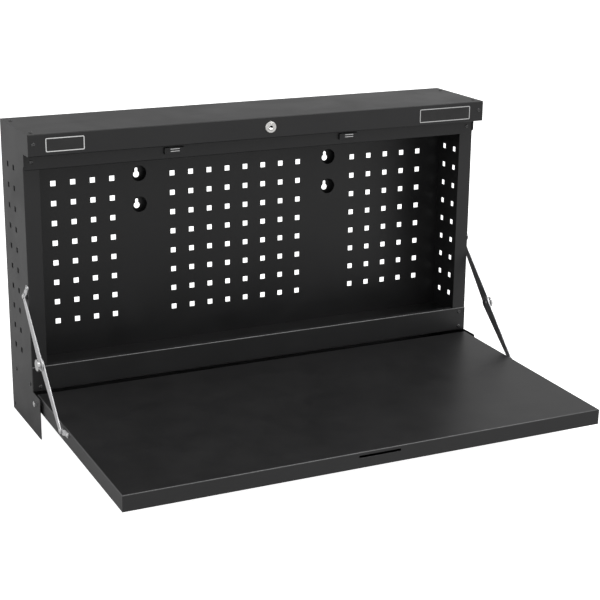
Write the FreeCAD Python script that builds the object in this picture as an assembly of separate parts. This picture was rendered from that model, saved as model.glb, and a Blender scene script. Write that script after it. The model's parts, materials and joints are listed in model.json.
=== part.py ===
"""Wall-mounted tool cabinet with a fold-down worktop, modelled standing open.

Frame: millimetres. X runs to the right, Y into the wall, Z up. The wall is the
plane Y = 0 and the whole object lies at negative Y. X = 0 is the middle of the
cabinet, and Z = 0 is midway between the two rows of screws that the cabinet
hangs on, so the origin is the centre of the keyhole pattern.
"""
import FreeCAD, Part
import math
import os

from FreeCAD import Vector

# ---------------------------------------------------------------- driving sizes
# Cabinet
WIDTH = 914.0                  # over the side panels
HEIGHT = 557.0                 # top face to the feet of the side panels
TOP_RISE = 145.0               # top face above the origin
HEADER_DEPTH = 177.5           # wall to the face of the header
HEADER_HEIGHT = 39.0
SHEET = 1.2                    # steel of the cabinet and worktop
BACK_SHEET = 1.0               # steel of the perforated back
BEND = 1.8                     # outside radius of a bend
BACK_STANDOFF = 17.0           # wall to the face of the perforated back
BACK_ANGLE_LEG = 10.0          # leg of an edge angle behind the back
SIDE_FLANGE = 28.5             # front flange of a side panel
HIDDEN_FLANGE = 20.0           # flanges that only carry screws
LUG_AHEAD = 6.5                # nose of a side panel's lower lug ahead of the header
LUG_HEIGHT = 78.0
LUG_CORNER = 3.0               # corner radius of the lug
TAB_REACH = 4.0                # side panel ahead of its flange beside the top rail
TAB_HEIGHT = 22.0
SEAM = 0.3                     # play between folded sheets that don't touch

# Rails and shelf
RAIL_GAP = 5.0                 # closed worktop to the face of a rail
TOP_RAIL_SHOWN = 30.5          # height of the top rail below the header
BOTTOM_RAIL_HEIGHT = 47.2
BOTTOM_RAIL_RISE = 0.5         # bottom rail above the top of the lug
RAIL_RETURN = 12.0
RAIL_SIDE_SETBACK = 0.5        # end of the bottom rail inside the side panel's face
SHELF_DROP = 25.7              # shelf below the top of the bottom rail
SHELF_FLANGE = 26.0

# Perforation
SQUARE = 10.0                  # side of a square hole
PITCH = 38.0
MIDDLE_COLUMNS = 8
GROUP_SPACING = 120.8          # last middle column to the first outer column
OUTER_COLUMN_EDGE = 40.0       # least distance from a column of the back to its edge
BACK_TOP_ROW = 20.0            # height of the top row of the back
BACK_ROW_EDGE = 50.0           # least distance from a row of the back to the shelf
SIDE_COLUMNS = 2
SIDE_TOP_ROW = 69.5            # height of the top row of a side panel
SIDE_ROW_EDGE = 20.0           # least distance from a row of a side panel to the shelf
SIDE_REAR_COLUMN = 40.2        # wall to the rear column of a side panel

# Wall fixing
HANGER_SPACING_X = 400.0
HANGER_SPACING_Z = 60.0
KEYHOLE_ENTRY = 12.0           # diameter that the screw head passes
KEYHOLE_SLOT = 6.0             # width that the screw shank hangs in
KEYHOLE_DROP = 10.0            # hanging place above the entry
CHANNEL_WIDTH = 50.0
ACCESS_HOLE = 30.0             # diameter of the screwdriver hole in the back
ACCESS_DROP = 5.0

# Worktop
WORKTOP_THICKNESS = 28.6
HINGE_GAP = 3.4                # worktop side to the inner face of the side panel
HINGE_BELOW_LUG_TOP = 15.2
HINGE_TO_REAR = 8.5            # hinge axis to the rear face of the worktop
FLUSH_SETBACK = 0.7            # closed worktop behind the face of the header
HEADER_GAP = 2.9               # closed worktop below the header
DROOP = 1.28                   # degrees that the open worktop falls to the front
LOCK_SLOT_LENGTH = 80.0
LOCK_SLOT_WIDTH = 4.6
LOCK_SLOT_SHIFT = 4.0          # middle of the slot to the right of the lock
LOCK_SLOT_DROP = 8.0           # middle of the slot below the top face
SKIN_FLANGE = 7.0              # upstand of the bottom skin
RIBS = 3
RIB_PITCH = 226.0
RIB_WIDTH = 30.0
RIB_SETBACK = 25.0             # end of a rib inside the worktop's walls

# Hinge
HINGE_BOLT = 6.0
HINGE_HEAD = 10.0              # across the flats
HINGE_HEAD_HEIGHT = 5.5
SPACER_DIAMETER = 14.0
NUT_ACROSS_FLATS = 10.0
NUT_HEIGHT = 4.0
RUNNING_FIT = 0.05             # radial play of a pin that turns
BODY_GAP = 0.3                 # play between faces that move past each other

# Stays
ARM_STANDOFF = 1.0             # side panel to the inner arm
ARM_THICKNESS = 2.0
ARM_PLAY = 0.1                 # between the two arms
ARM_END_WIDTH = 12.0
ARM_ELBOW_WIDTH = 23.0
UPPER_ARM_LENGTH = 136.9
ELBOW_KINK = 4.3               # elbow behind the straight line of the open stay
UPPER_PIVOT_RISE = 192.2       # above the hinge axis
UPPER_PIVOT_SETBACK = 19.0     # behind the front flanges
UPPER_SCREW_FORWARD = 13.4     # bracket screw ahead of its pivot
UPPER_SCREW_RISE = 18.7
LOWER_PIVOT_REACH = 150.4      # hinge axis to the lower pivot, along the worktop
LOWER_PIVOT_RISE = 6.6         # above the worktop's middle plane
LOWER_SCREW_FORWARD = 23.9
LOWER_SCREW_RISE = 0.3
BRACKET_THICKNESS = 2.0
BRACKET_WIDTH = 12.0
LOWER_BRACKET_WIDTH = 10.6
JOGGLE_RUN = 4.0               # length over which a bracket steps outwards
RIVET = 5.0
RIVET_HEAD = 9.0
RIVET_HEAD_HEIGHT = 1.8
RIVET_TAIL = 0.6
STUD = 7.0
KNOB_DIAMETER = 21.0
KNOB_THICKNESS = 4.0
KNOB_NECK = 3.4                # upper arm to the knob
KNOB_CORNER = 1.0

# Screws
SCREW = 4.0
SCREW_LENGTH = 8.0
SCREW_HEAD = 7.2
SCREW_HEAD_HEIGHT = 1.8
SCREW_PLAY = 0.1               # radial play of a screw in its hole
SOCKET = 2.5                   # width of the drive recess across its flats
SOCKET_DEPTH = 1.2
EDGE_TO_SCREW = 11.0           # side panel's face to a screw in the top
HEADER_SCREW_EDGE = 9.6        # side panel's face to a screw in the header
RAIL_SCREW_EDGE = 14.3
TOP_SCREW_REAR = 33.0          # wall to the rear screw of the top
TOP_SCREW_SETBACK = 19.5       # header's face to the front screw of the top
HEADER_SCREW_DROP = 17.5
TOP_RAIL_SCREW_DROP = 15.5     # below the header
BOTTOM_RAIL_SCREW_EDGE = 8.5   # lower and upper screws inside the rail's edges
SHELF_SCREW_REAR = 34.0
SHELF_SCREW_SETBACK = 16.0     # behind the front flanges
SHELF_SCREW_DROP = 11.3
FOOT_SCREW_REAR = 11.0
FOOT_SCREW_RISE = 11.8

# Lock
LOCK_FACE = 22.0
LOCK_FACE_HEIGHT = 2.2
LOCK_BARREL = 18.8
LOCK_HOLE_PLAY = 0.1
LOCK_RISE = 20.0               # lock axis above the bottom of the header
LOCK_NUT_ACROSS_FLATS = 24.0
LOCK_NUT_HEIGHT = 4.0
PLUG = 12.0
PLUG_PROUD = 0.4
KEYWAY_LENGTH = 7.0
KEYWAY_WIDTH = 1.6
KEYWAY_DEPTH = 8.0
CAM_LENGTH = 28.0
CAM_WIDTH = 12.0
CAM_THICKNESS = 2.0
CAM_DRIVE = 6.0                # square on the plug that carries the cam
CAM_SCREW = 3.0
CAM_SCREW_HEAD = 7.5
CAM_SLOT_LENGTH = 80.0
CAM_SLOT_WIDTH = 6.4

# Magnetic catches
CATCH_SPACING = 354.5          # between the middles of the two catches
CATCH_CUT_WIDTH = 38.5
CATCH_CUT_HEIGHT = 12.0
CATCH_RISE = 9.5               # cut-out above the lower edge of the top rail
CATCH_PLAY = 0.25
CATCH_COLLAR = 4.0             # collar behind the rail, beyond the cut-out
CATCH_COLLAR_THICKNESS = 2.0
CATCH_REAR = 10.0              # body behind the rail
CATCH_CLOSING_GAP = 0.5        # catch to the closed worktop
POLE_WIDTH = 17.5
POLE_THICKNESS = 1.4
POLE_SPACING = 4.1             # between the middles of the two poles
POLE_SHIFT = 0.9               # poles to the right of the catch's middle
POLE_RISE = 1.05               # poles above the catch's middle
POLE_PROUD = 0.3

# Plates on the header
PLATE_THICKNESS = 0.5
PLATE_RIM = 1.6
PLATE_RIM_HEIGHT = 0.3
PLATE_CORNER = 2.5
LEFT_PLATE_WIDTH = 69.9
LEFT_PLATE_HEIGHT = 24.5
LEFT_PLATE_EDGE = 31.4         # side panel's face to the plate
RIGHT_PLATE_WIDTH = 112.0
RIGHT_PLATE_HEIGHT = 26.0
RIGHT_PLATE_EDGE = 30.0
PLATE_TOP_DROP = 7.5           # top of the header to the top of a plate

# --------------------------------------------------------- places that follow
HALF = WIDTH / 2
WEB_INSIDE = HALF - SHEET                  # inner face of a side panel
TOP = TOP_RISE
FOOT = TOP - HEIGHT
HEADER_BOTTOM = TOP - HEADER_HEIGHT
UNDER_TOP = TOP - SHEET
HEADER_FACE = -HEADER_DEPTH
HEADER_BACK = HEADER_FACE + SHEET
CLOSED_FACE = HEADER_FACE + FLUSH_SETBACK + WORKTOP_THICKNESS   # worktop's face, shut
RAIL_FACE = CLOSED_FACE + RAIL_GAP
FRAME = RAIL_FACE + SHEET                  # face of the side panels' front flanges
LUG_FRONT = HEADER_FACE - LUG_AHEAD
LUG_TOP = FOOT + LUG_HEIGHT
BACK_FACE = -BACK_STANDOFF
BACK_REAR = BACK_FACE + BACK_SHEET
OPENING_HALF = HALF - SIDE_FLANGE
TOP_RAIL_BOTTOM = HEADER_BOTTOM - TOP_RAIL_SHOWN
BOTTOM_RAIL_BOTTOM = LUG_TOP + BOTTOM_RAIL_RISE
BOTTOM_RAIL_TOP = BOTTOM_RAIL_BOTTOM + BOTTOM_RAIL_HEIGHT
SHELF_TOP = BOTTOM_RAIL_TOP - SHELF_DROP

HINGE_Y = CLOSED_FACE - WORKTOP_THICKNESS / 2
HINGE_Z = LUG_TOP - HINGE_BELOW_LUG_TOP
HINGE_TO_FRONT = HEADER_BOTTOM - HEADER_GAP - HINGE_Z
WORKTOP_HALF = WEB_INSIDE - HINGE_GAP
HALF_THICK = WORKTOP_THICKNESS / 2

LOWER_ARM_INSIDE = HALF + ARM_STANDOFF
LOWER_ARM_OUTSIDE = LOWER_ARM_INSIDE + ARM_THICKNESS
UPPER_ARM_INSIDE = LOWER_ARM_OUTSIDE + ARM_PLAY
UPPER_ARM_OUTSIDE = UPPER_ARM_INSIDE + ARM_THICKNESS

SCREW_HOLE = SCREW / 2 + SCREW_PLAY
CAM_MIDDLE = CLOSED_FACE - LOCK_SLOT_DROP  # the cam turns in the plane of the worktop's slot
LOCK_Z = HEADER_BOTTOM + LOCK_RISE

RIGHT_X = Vector(1, 0, 0)
INTO_WALL = Vector(0, 1, 0)
UP = Vector(0, 0, 1)


# ------------------------------------------------------------- small shapes
def block(x_range, y_range, z_range):
    """A box between three pairs of planes."""
    size = [high - low for low, high in (x_range, y_range, z_range)]
    corner = Vector(x_range[0], y_range[0], z_range[0])
    return Part.makeBox(size[0], size[1], size[2], corner)


def rod(radius, start, end):
    """A cylinder between two points."""
    axis = end - start
    return Part.makeCylinder(radius, axis.Length, start, axis)


def mirrored(shape):
    """The same shape on the other side of the cabinet."""
    return shape.mirror(Vector(0, 0, 0), RIGHT_X)


def both_sides(shape):
    """A right-hand shape together with its left-hand twin."""
    return [shape, mirrored(shape)]


def cut_all(shape, tools):
    """A shape less every one of the tools."""
    return shape.cut(Part.makeCompound(tools))


def fused(pieces):
    """One solid out of pieces that touch."""
    return pieces[0].multiFuse(pieces[1:]).removeSplitter()


def offset_point(before, corner, after, distance):
    """Where a corner of an outline goes when the outline moves to its left."""
    arriving = (corner - before).normalize()
    leaving = (after - corner).normalize()
    left_in = Vector(-arriving.y, arriving.x, 0)
    left_out = Vector(-leaving.y, leaving.x, 0)
    return corner + (left_in + left_out) * (distance / (1 + left_in.dot(left_out)))


def rounded_outline(points, radii):
    """A closed wire through points, each corner rounded to its own radius."""
    edges = []
    last_end = None
    first_start = None
    count = len(points)
    for i in range(count):
        corner = points[i]
        to_before = (points[i - 1] - corner).normalize()
        to_after = (points[(i + 1) % count] - corner).normalize()
        start = corner
        end = corner
        if radii[i] > 0:
            half_angle = to_before.getAngle(to_after) / 2
            setback = radii[i] / math.tan(half_angle)
            start = corner + to_before * setback
            end = corner + to_after * setback
            bisector = (to_before + to_after).normalize()
            centre = corner + bisector * (radii[i] / math.sin(half_angle))
            middle = centre - bisector * radii[i]
        if last_end is not None:
            edges.append(Part.makeLine(last_end, start))
        if radii[i] > 0:
            edges.append(Part.Arc(start, middle, end).toShape())
        if first_start is None:
            first_start = start
        last_end = end
    edges.append(Part.makeLine(last_end, first_start))
    return Part.Wire(edges)


def folded_strip(path, thickness):
    """The cross-section of a folded sheet as a face in the XY plane.

    The path is the sheet's right-hand face, and the sheet lies to its left. A
    bend to the left has its outside on the path.
    """
    points = [Vector(x, y, 0) for x, y in path]
    far = []
    radii_near = []
    radii_far = []
    for i, corner in enumerate(points):
        if i in (0, len(points) - 1):
            neighbour = points[1] if i == 0 else points[i - 1]
            along = (neighbour - corner if i == 0 else corner - neighbour).normalize()
            far.append(corner + Vector(-along.y, along.x, 0) * thickness)
            radii_near.append(0)
            radii_far.append(0)
            continue
        far.append(offset_point(points[i - 1], corner, points[i + 1], thickness))
        turn = (corner - points[i - 1]).cross(points[i + 1] - corner).z
        inside = BEND - thickness
        radii_near.append(BEND if turn > 0 else inside)
        radii_far.append(inside if turn > 0 else BEND)
    outline = points + far[::-1]
    radii = radii_near + radii_far[::-1]
    return Part.Face(rounded_outline(outline, radii))


def folded_along_x(path, thickness, x_range):
    """A folded sheet that runs along X. The path holds (y, z) pairs."""
    strip = folded_strip(path, thickness)
    solid = strip.extrude(UP * (x_range[1] - x_range[0]))
    # turn the section's X, Y and its direction of travel into Y, Z and X
    solid.rotate(Vector(0, 0, 0), Vector(1, 1, 1), 120)
    solid.translate(RIGHT_X * x_range[0])
    return solid


def folded_along_z(path, thickness, z_range):
    """A folded sheet that runs along Z. The path holds (x, y) pairs."""
    strip = folded_strip(path, thickness)
    solid = strip.extrude(UP * (z_range[1] - z_range[0]))
    solid.translate(UP * z_range[0])
    return solid


def plate_across_x(points, radii, x_range):
    """A flat plate that faces sideways. The points hold (y, z) pairs."""
    wire = rounded_outline([Vector(x_range[0], y, z) for y, z in points], radii)
    return Part.Face(wire).extrude(RIGHT_X * (x_range[1] - x_range[0]))


def hexagon(across_flats, start, end):
    """A hexagonal prism between two points."""
    axis = end - start
    radius = across_flats / math.sqrt(3)
    corners = []
    for i in range(7):
        angle = math.radians(60 * i)
        corners.append(Vector(radius * math.cos(angle), radius * math.sin(angle), 0))
    prism = Part.Face(Part.makePolygon(corners)).extrude(UP * axis.Length)
    prism.Placement = FreeCAD.Placement(start, FreeCAD.Rotation(UP, axis))
    return prism


def dome_head(diameter, height, seat, outward):
    """A pan head: a disc whose outer edge is rounded, standing on its seat."""
    head = Part.makeCylinder(diameter / 2, height, seat, outward)
    far_edge = max(head.Edges, key=lambda e: e.CenterOfMass.dot(outward) if e.Closed else -1e9)
    return head.makeFillet(height * 0.6, [far_edge])


def screw(seat, outward, diameter=SCREW, length=SCREW_LENGTH, head=SCREW_HEAD,
          head_height=SCREW_HEAD_HEIGHT):
    """A socket button screw whose head stands on seat and points outward."""
    top = dome_head(head, head_height, seat, outward)
    shank = rod(diameter / 2, seat - outward * length, seat)
    crown = seat + outward * head_height
    recess = hexagon(SOCKET, crown - outward * SOCKET_DEPTH, crown + outward)
    return top.fuse(shank).removeSplitter().cut(recess)


def screw_hole(seat, outward):
    """The round hole that a screw passes, through every sheet under its head."""
    return rod(SCREW_HOLE, seat - outward * SCREW_LENGTH, seat + outward)


def save(name, shapes):
    """Write one node. A list of shapes becomes a group of separate solids."""
    solids = shapes if isinstance(shapes, list) else [shapes]
    node = solids[0] if len(solids) == 1 else Part.makeCompound(solids)
    node.exportStep("parts/" + name + ".step")


def save_pair(name, right_shape):
    """Write a right-hand piece and its mirrored left-hand twin as two nodes."""
    save("right_" + name, right_shape)
    save("left_" + name, mirrored(right_shape))


# ------------------------------------------------------------- screw places
def top_screw_seats():
    """Two screws in each end of the top, over the side panels' top flanges."""
    x = HALF - EDGE_TO_SCREW
    front = HEADER_FACE + TOP_SCREW_SETBACK
    seats = [Vector(x, -TOP_SCREW_REAR, TOP), Vector(x, front, TOP)]
    return [(seat, UP) for seat in seats]


def header_screw_seats():
    """One screw in each end of the header."""
    seat = Vector(HALF - HEADER_SCREW_EDGE, HEADER_FACE, TOP - HEADER_SCREW_DROP)
    return [(seat, -INTO_WALL)]


def top_rail_screw_seats():
    """One screw in each end of the top rail."""
    seat = Vector(HALF - RAIL_SCREW_EDGE, RAIL_FACE, HEADER_BOTTOM - TOP_RAIL_SCREW_DROP)
    return [(seat, -INTO_WALL)]


def bottom_rail_screw_seats():
    """Two screws, one above the other, in each end of the bottom rail."""
    low = BOTTOM_RAIL_BOTTOM + BOTTOM_RAIL_SCREW_EDGE
    high = BOTTOM_RAIL_TOP - BOTTOM_RAIL_SCREW_EDGE
    x = HALF - RAIL_SCREW_EDGE
    return [(Vector(x, RAIL_FACE, z), -INTO_WALL) for z in (low, high)]


def side_screw_seats():
    """Two screws into the shelf and one into the foot of the back angle."""
    shelf_z = SHELF_TOP - SHELF_SCREW_DROP
    front = FRAME + SHELF_SCREW_SETBACK
    foot_z = FOOT + FOOT_SCREW_RISE
    places = [(-SHELF_SCREW_REAR, shelf_z), (front, shelf_z), (-FOOT_SCREW_REAR, foot_z)]
    return [(Vector(HALF, y, z), RIGHT_X) for y, z in places]


def holes_for(seats):
    """Right-hand and left-hand holes for a list of screw places."""
    holes = []
    for seat, outward in seats:
        holes += both_sides(screw_hole(seat, outward))
    return holes


def screws_for(seats):
    """Right-hand and left-hand screws for a list of screw places."""
    screws = []
    for seat, outward in seats:
        screws += both_sides(screw(seat, outward))
    return screws


# ------------------------------------------------------------- stay geometry
def worktop_point(x, ahead, above):
    """A place on the open worktop, from its distance ahead of the hinge axis
    and above the middle plane of the worktop."""
    angle = math.radians(DROOP)
    y = HINGE_Y - ahead * math.cos(angle) - above * math.sin(angle)
    z = HINGE_Z - ahead * math.sin(angle) + above * math.cos(angle)
    return Vector(x, y, z)


def upper_pivot(x):
    return Vector(x, FRAME + UPPER_PIVOT_SETBACK, HINGE_Z + UPPER_PIVOT_RISE)


def upper_bracket_screw(x):
    return upper_pivot(x) + Vector(0, -UPPER_SCREW_FORWARD, UPPER_SCREW_RISE)


def lower_pivot(x):
    return worktop_point(x, LOWER_PIVOT_REACH, LOWER_PIVOT_RISE)


def lower_bracket_screw(x):
    return worktop_point(x, LOWER_PIVOT_REACH + LOWER_SCREW_FORWARD,
                         LOWER_PIVOT_RISE + LOWER_SCREW_RISE)


def elbow(x):
    """The joint between the arms, a little behind the line of the open stay."""
    down_line = (lower_pivot(x) - upper_pivot(x)).normalize()
    behind = Vector(0, -down_line.z, down_line.y)
    reach = math.sqrt(UPPER_ARM_LENGTH ** 2 - ELBOW_KINK ** 2)
    return upper_pivot(x) + down_line * reach + behind * ELBOW_KINK


def tapered_link(start, start_radius, end, end_radius, thickness):
    """A flat bar in the YZ plane with round ends of two sizes and straight,
    tangent edges. Its near face is at the X of its two centres."""
    span = end - start
    along = Vector(span).normalize()
    across = RIGHT_X.cross(along)
    lean = math.asin((end_radius - start_radius) / span.Length)

    def rim(centre, radius, side):
        return centre + (across * (side * math.cos(lean)) - along * math.sin(lean)) * radius

    edges = [
        Part.makeLine(rim(start, start_radius, 1), rim(end, end_radius, 1)),
        Part.Arc(rim(end, end_radius, 1), end + along * end_radius,
                 rim(end, end_radius, -1)).toShape(),
        Part.makeLine(rim(end, end_radius, -1), rim(start, start_radius, -1)),
        Part.Arc(rim(start, start_radius, -1), start - along * start_radius,
                 rim(start, start_radius, 1)).toShape(),
    ]
    return Part.Face(Part.Wire(edges)).extrude(RIGHT_X * thickness)


def joggled_bracket(screw_point, pivot_point, width, step):
    """A flat bracket that steps outwards between its screw and its pivot.

    Both points lie on the bracket's inner face at the screw end.
    """
    pitch = (pivot_point - screw_point).Length
    radius = width / 2
    before_step = (pitch - JOGGLE_RUN) / 2
    after_step = before_step + JOGGLE_RUN
    path = [
        (-radius, 0),
        (before_step, 0),
        (after_step, step),
        (pitch + radius, step),
    ]
    near = [Vector(s, -radius, x) for s, x in path]
    far = [point + Vector(0, 0, BRACKET_THICKNESS) for point in near[::-1]]
    strip = Part.Face(Part.makePolygon(near + far + [near[0]])).extrude(Vector(0, width, 0))
    depth = step + BRACKET_THICKNESS
    outline = fused([
        Part.makeCylinder(radius, depth),
        Part.makeCylinder(radius, depth, Vector(pitch, 0, 0)),
        Part.makeBox(pitch, width, depth, Vector(0, -radius, 0)),
    ])
    bracket = strip.common(outline)
    along = (pivot_point - screw_point).normalize()
    across = RIGHT_X.cross(along)
    turn = FreeCAD.Rotation(along, across, RIGHT_X, "ZXY")
    bracket.Placement = FreeCAD.Placement(screw_point, turn)
    return bracket


# ------------------------------------------------------------- cabinet sheets
def pitches_that_fit(first, limit):
    """Places at the pitch of the square holes, from the first as far as the limit."""
    count = int(abs(limit - first) / PITCH) + 1
    step = math.copysign(PITCH, limit - first)
    return [first + i * step for i in range(count)]


def back_columns():
    """X of every column of the back: a middle group and two outer ones."""
    middle_edge = (MIDDLE_COLUMNS - 1) / 2 * PITCH
    middle = [i * PITCH - middle_edge for i in range(MIDDLE_COLUMNS)]
    right = pitches_that_fit(middle_edge + GROUP_SPACING, WEB_INSIDE - OUTER_COLUMN_EDGE)
    left = [-x for x in right]
    return left + middle + right


def back_rows():
    """Z of every row of the back."""
    return pitches_that_fit(BACK_TOP_ROW, SHELF_TOP + BACK_ROW_EDGE)


def side_rows():
    """Z of every row of a side panel."""
    return pitches_that_fit(SIDE_TOP_ROW, SHELF_TOP + SIDE_ROW_EDGE)


def hanger_places():
    """X and Z of the four screws that the cabinet hangs on."""
    return [
        (side * HANGER_SPACING_X / 2, level * HANGER_SPACING_Z / 2)
        for side in (-1, 1)
        for level in (-1, 1)
    ]


def back_height():
    """Z range of the perforated back and of the angles along its sides."""
    return FOOT, UNDER_TOP - SHEET - SEAM


def back_panel():
    """The perforated back, a flat sheet between the side panels."""
    half = SQUARE / 2
    depth = (BACK_FACE - 1, BACK_REAR + 1)
    tools = []
    for x in back_columns():
        for z in back_rows():
            tools.append(block((x - half, x + half), depth, (z - half, z + half)))
    for x, z in hanger_places():
        start = Vector(x, BACK_FACE - 1, z - ACCESS_DROP)
        tools.append(rod(ACCESS_HOLE / 2, start, start + INTO_WALL * (BACK_SHEET + 2)))
    sheet = block((-WEB_INSIDE, WEB_INSIDE), (BACK_FACE, BACK_REAR), back_height())
    return cut_all(sheet, tools)


def right_back_angle():
    """The angle that joins the edge of the back to a side panel."""
    path = [
        (WEB_INSIDE - BACK_ANGLE_LEG, BACK_REAR),
        (WEB_INSIDE, BACK_REAR),
        (WEB_INSIDE, -SHEET),
    ]
    angle = folded_along_z(path, BACK_SHEET, back_height())
    return cut_all(angle, holes_for(side_screw_seats()))


def keyhole(x, z):
    """The cutter for one keyhole: a round entry and a slot that ends at x, z."""
    near = Vector(x, -SHEET - 1, z)
    through = INTO_WALL * (SHEET + 2)
    entry = near - UP * KEYHOLE_DROP
    half = KEYHOLE_SLOT / 2
    return fused([
        rod(KEYHOLE_ENTRY / 2, entry, entry + through),
        rod(half, near, near + through),
        block((x - half, x + half), (near.y, near.y + through.y), (entry.z, z)),
    ])


def right_wall_channel():
    """A channel between the back and the wall that carries two keyholes."""
    middle = HANGER_SPACING_X / 2
    near = middle - CHANNEL_WIDTH / 2
    far = middle + CHANNEL_WIDTH / 2
    path = [(far, BACK_REAR), (far, 0), (near, 0), (near, BACK_REAR)]
    z_range = (FOOT, UNDER_TOP - HIDDEN_FLANGE)
    channel = folded_along_z(path, SHEET, z_range)
    keyholes = [keyhole(x, z) for x, z in hanger_places() if x > 0]
    return cut_all(channel, keyholes)


def right_side_panel():
    """A side panel: a perforated web with a horn behind the header, a lug that
    carries the hinge, and flanges to the front, top and rear."""
    tab_front = FRAME - TAB_REACH
    tab_bottom = HEADER_BOTTOM - TAB_HEIGHT
    outline = [
        (0, FOOT),
        (LUG_FRONT, FOOT),
        (LUG_FRONT, LUG_TOP),
        (FRAME + BEND, LUG_TOP),
        (FRAME + BEND, tab_bottom - TAB_REACH),
        (FRAME, tab_bottom - TAB_REACH),
        (tab_front, tab_bottom),
        (tab_front, HEADER_BOTTOM),
        (HEADER_BACK, HEADER_BOTTOM),
        (HEADER_BACK, UNDER_TOP),
        (0, UNDER_TOP),
    ]
    radii = [0, LUG_CORNER, LUG_CORNER] + [0] * 5 + [BEND, BEND, 0]
    web = plate_across_x(outline, radii, (WEB_INSIDE, HALF))
    overlap = 2 * BEND
    front_path = [(OPENING_HALF, FRAME), (HALF, FRAME), (HALF, FRAME + overlap)]
    front = folded_along_z(front_path, SHEET, (LUG_TOP, tab_bottom - TAB_REACH))
    behind_rail = block((OPENING_HALF, HALF), (FRAME, FRAME + SHEET),
                        (tab_bottom - TAB_REACH, HEADER_BOTTOM - SHEET))
    flange_x = (HALF - HIDDEN_FLANGE, HALF)
    top_path = [
        (0, UNDER_TOP),
        (HEADER_BACK, UNDER_TOP),
        (HEADER_BACK, HEADER_BOTTOM + BEND + SEAM),
    ]
    horn_and_top = folded_along_x(top_path, SHEET, flange_x)
    rear = block(flange_x, (-SHEET, 0), (FOOT, UNDER_TOP))
    panel = fused([web, front, behind_rail, horn_and_top, rear])

    half = SQUARE / 2
    tools = []
    for column in range(SIDE_COLUMNS):
        y = -SIDE_REAR_COLUMN - column * PITCH
        for z in side_rows():
            tools.append(block((WEB_INSIDE - 1, HALF + 1), (y - half, y + half),
                               (z - half, z + half)))
    hinge = Vector(WEB_INSIDE - 1, HINGE_Y, HINGE_Z)
    tools.append(rod(HINGE_BOLT / 2 + SCREW_PLAY, hinge, hinge + RIGHT_X * (SHEET + 2)))
    every_seat = top_screw_seats() + header_screw_seats() + top_rail_screw_seats()
    every_seat += bottom_rail_screw_seats() + side_screw_seats()
    every_seat.append((upper_bracket_screw(HALF + BRACKET_THICKNESS), RIGHT_X))
    return cut_all(panel, tools + holes_for(every_seat))


def top_panel():
    """The top, whose front is folded down and back to make the header."""
    path = [
        (FRAME - TAB_REACH - SEAM, HEADER_BOTTOM),
        (HEADER_FACE, HEADER_BOTTOM),
        (HEADER_FACE, TOP),
        (0, TOP),
        (0, UNDER_TOP - HIDDEN_FLANGE + SHEET),
    ]
    # the path runs round the outside clockwise, so it is followed backwards
    panel = folded_along_x(path[::-1], SHEET, (-HALF, HALF))
    clear_of_web = block((WEB_INSIDE - SEAM, HALF + 1), (HEADER_BACK, 1),
                         (HEADER_BOTTOM - 1, UNDER_TOP))
    rear_x = HALF - HIDDEN_FLANGE - SEAM
    clear_of_rear = block((rear_x, HALF + 1), (-BEND - 1, 1), (FOOT, UNDER_TOP))
    tools = both_sides(clear_of_web) + both_sides(clear_of_rear)
    face = Vector(0, HEADER_FACE - 1, LOCK_Z)
    tools.append(rod(LOCK_BARREL / 2 + LOCK_HOLE_PLAY, face, face + INTO_WALL * (SHEET + 2)))
    tools.append(block((-CAM_SLOT_LENGTH / 2, CAM_SLOT_LENGTH / 2),
                       (CAM_MIDDLE - CAM_SLOT_WIDTH / 2, CAM_MIDDLE + CAM_SLOT_WIDTH / 2),
                       (HEADER_BOTTOM - 1, HEADER_BOTTOM + SHEET + 1)))
    return cut_all(panel, tools + holes_for(top_screw_seats() + header_screw_seats()))


def catch_middles():
    """Middle of each catch's cut-out on the face of the top rail."""
    z = TOP_RAIL_BOTTOM + CATCH_RISE + CATCH_CUT_HEIGHT / 2
    return [Vector(side * CATCH_SPACING / 2, RAIL_FACE, z) for side in (-1, 1)]


def trim_returns(rail, bottom, top):
    """Shorten a rail's rearward returns so that they pass between the flanges."""
    beside = block((OPENING_HALF - SEAM, HALF + 1), (FRAME, FRAME + RAIL_RETURN + 1),
                   (bottom - 1, top + 1))
    return cut_all(rail, both_sides(beside))


def top_rail():
    """The rail behind and below the header, with cut-outs for the catches."""
    top = UNDER_TOP - SHEET - SEAM
    path = [
        (RAIL_FACE + RAIL_RETURN, TOP_RAIL_BOTTOM),
        (RAIL_FACE, TOP_RAIL_BOTTOM),
        (RAIL_FACE, top),
        (RAIL_FACE + RAIL_RETURN, top),
    ]
    half = WEB_INSIDE - SEAM
    rail = folded_along_x(path[::-1], SHEET, (-half, half))
    rail = trim_returns(rail, TOP_RAIL_BOTTOM, top)
    tools = []
    for middle in catch_middles():
        tools.append(block((middle.x - CATCH_CUT_WIDTH / 2, middle.x + CATCH_CUT_WIDTH / 2),
                           (RAIL_FACE - 1, FRAME + 1),
                           (middle.z - CATCH_CUT_HEIGHT / 2, middle.z + CATCH_CUT_HEIGHT / 2)))
    return cut_all(rail, tools + holes_for(top_rail_screw_seats()))


def bottom_rail():
    """The rail across the front of the shelf."""
    path = [
        (RAIL_FACE + RAIL_RETURN, BOTTOM_RAIL_BOTTOM),
        (RAIL_FACE, BOTTOM_RAIL_BOTTOM),
        (RAIL_FACE, BOTTOM_RAIL_TOP),
        (RAIL_FACE + RAIL_RETURN, BOTTOM_RAIL_TOP),
    ]
    half = HALF - RAIL_SIDE_SETBACK
    rail = folded_along_x(path[::-1], SHEET, (-half, half))
    rail = trim_returns(rail, BOTTOM_RAIL_BOTTOM, BOTTOM_RAIL_TOP)
    return cut_all(rail, holes_for(bottom_rail_screw_seats()))


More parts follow.
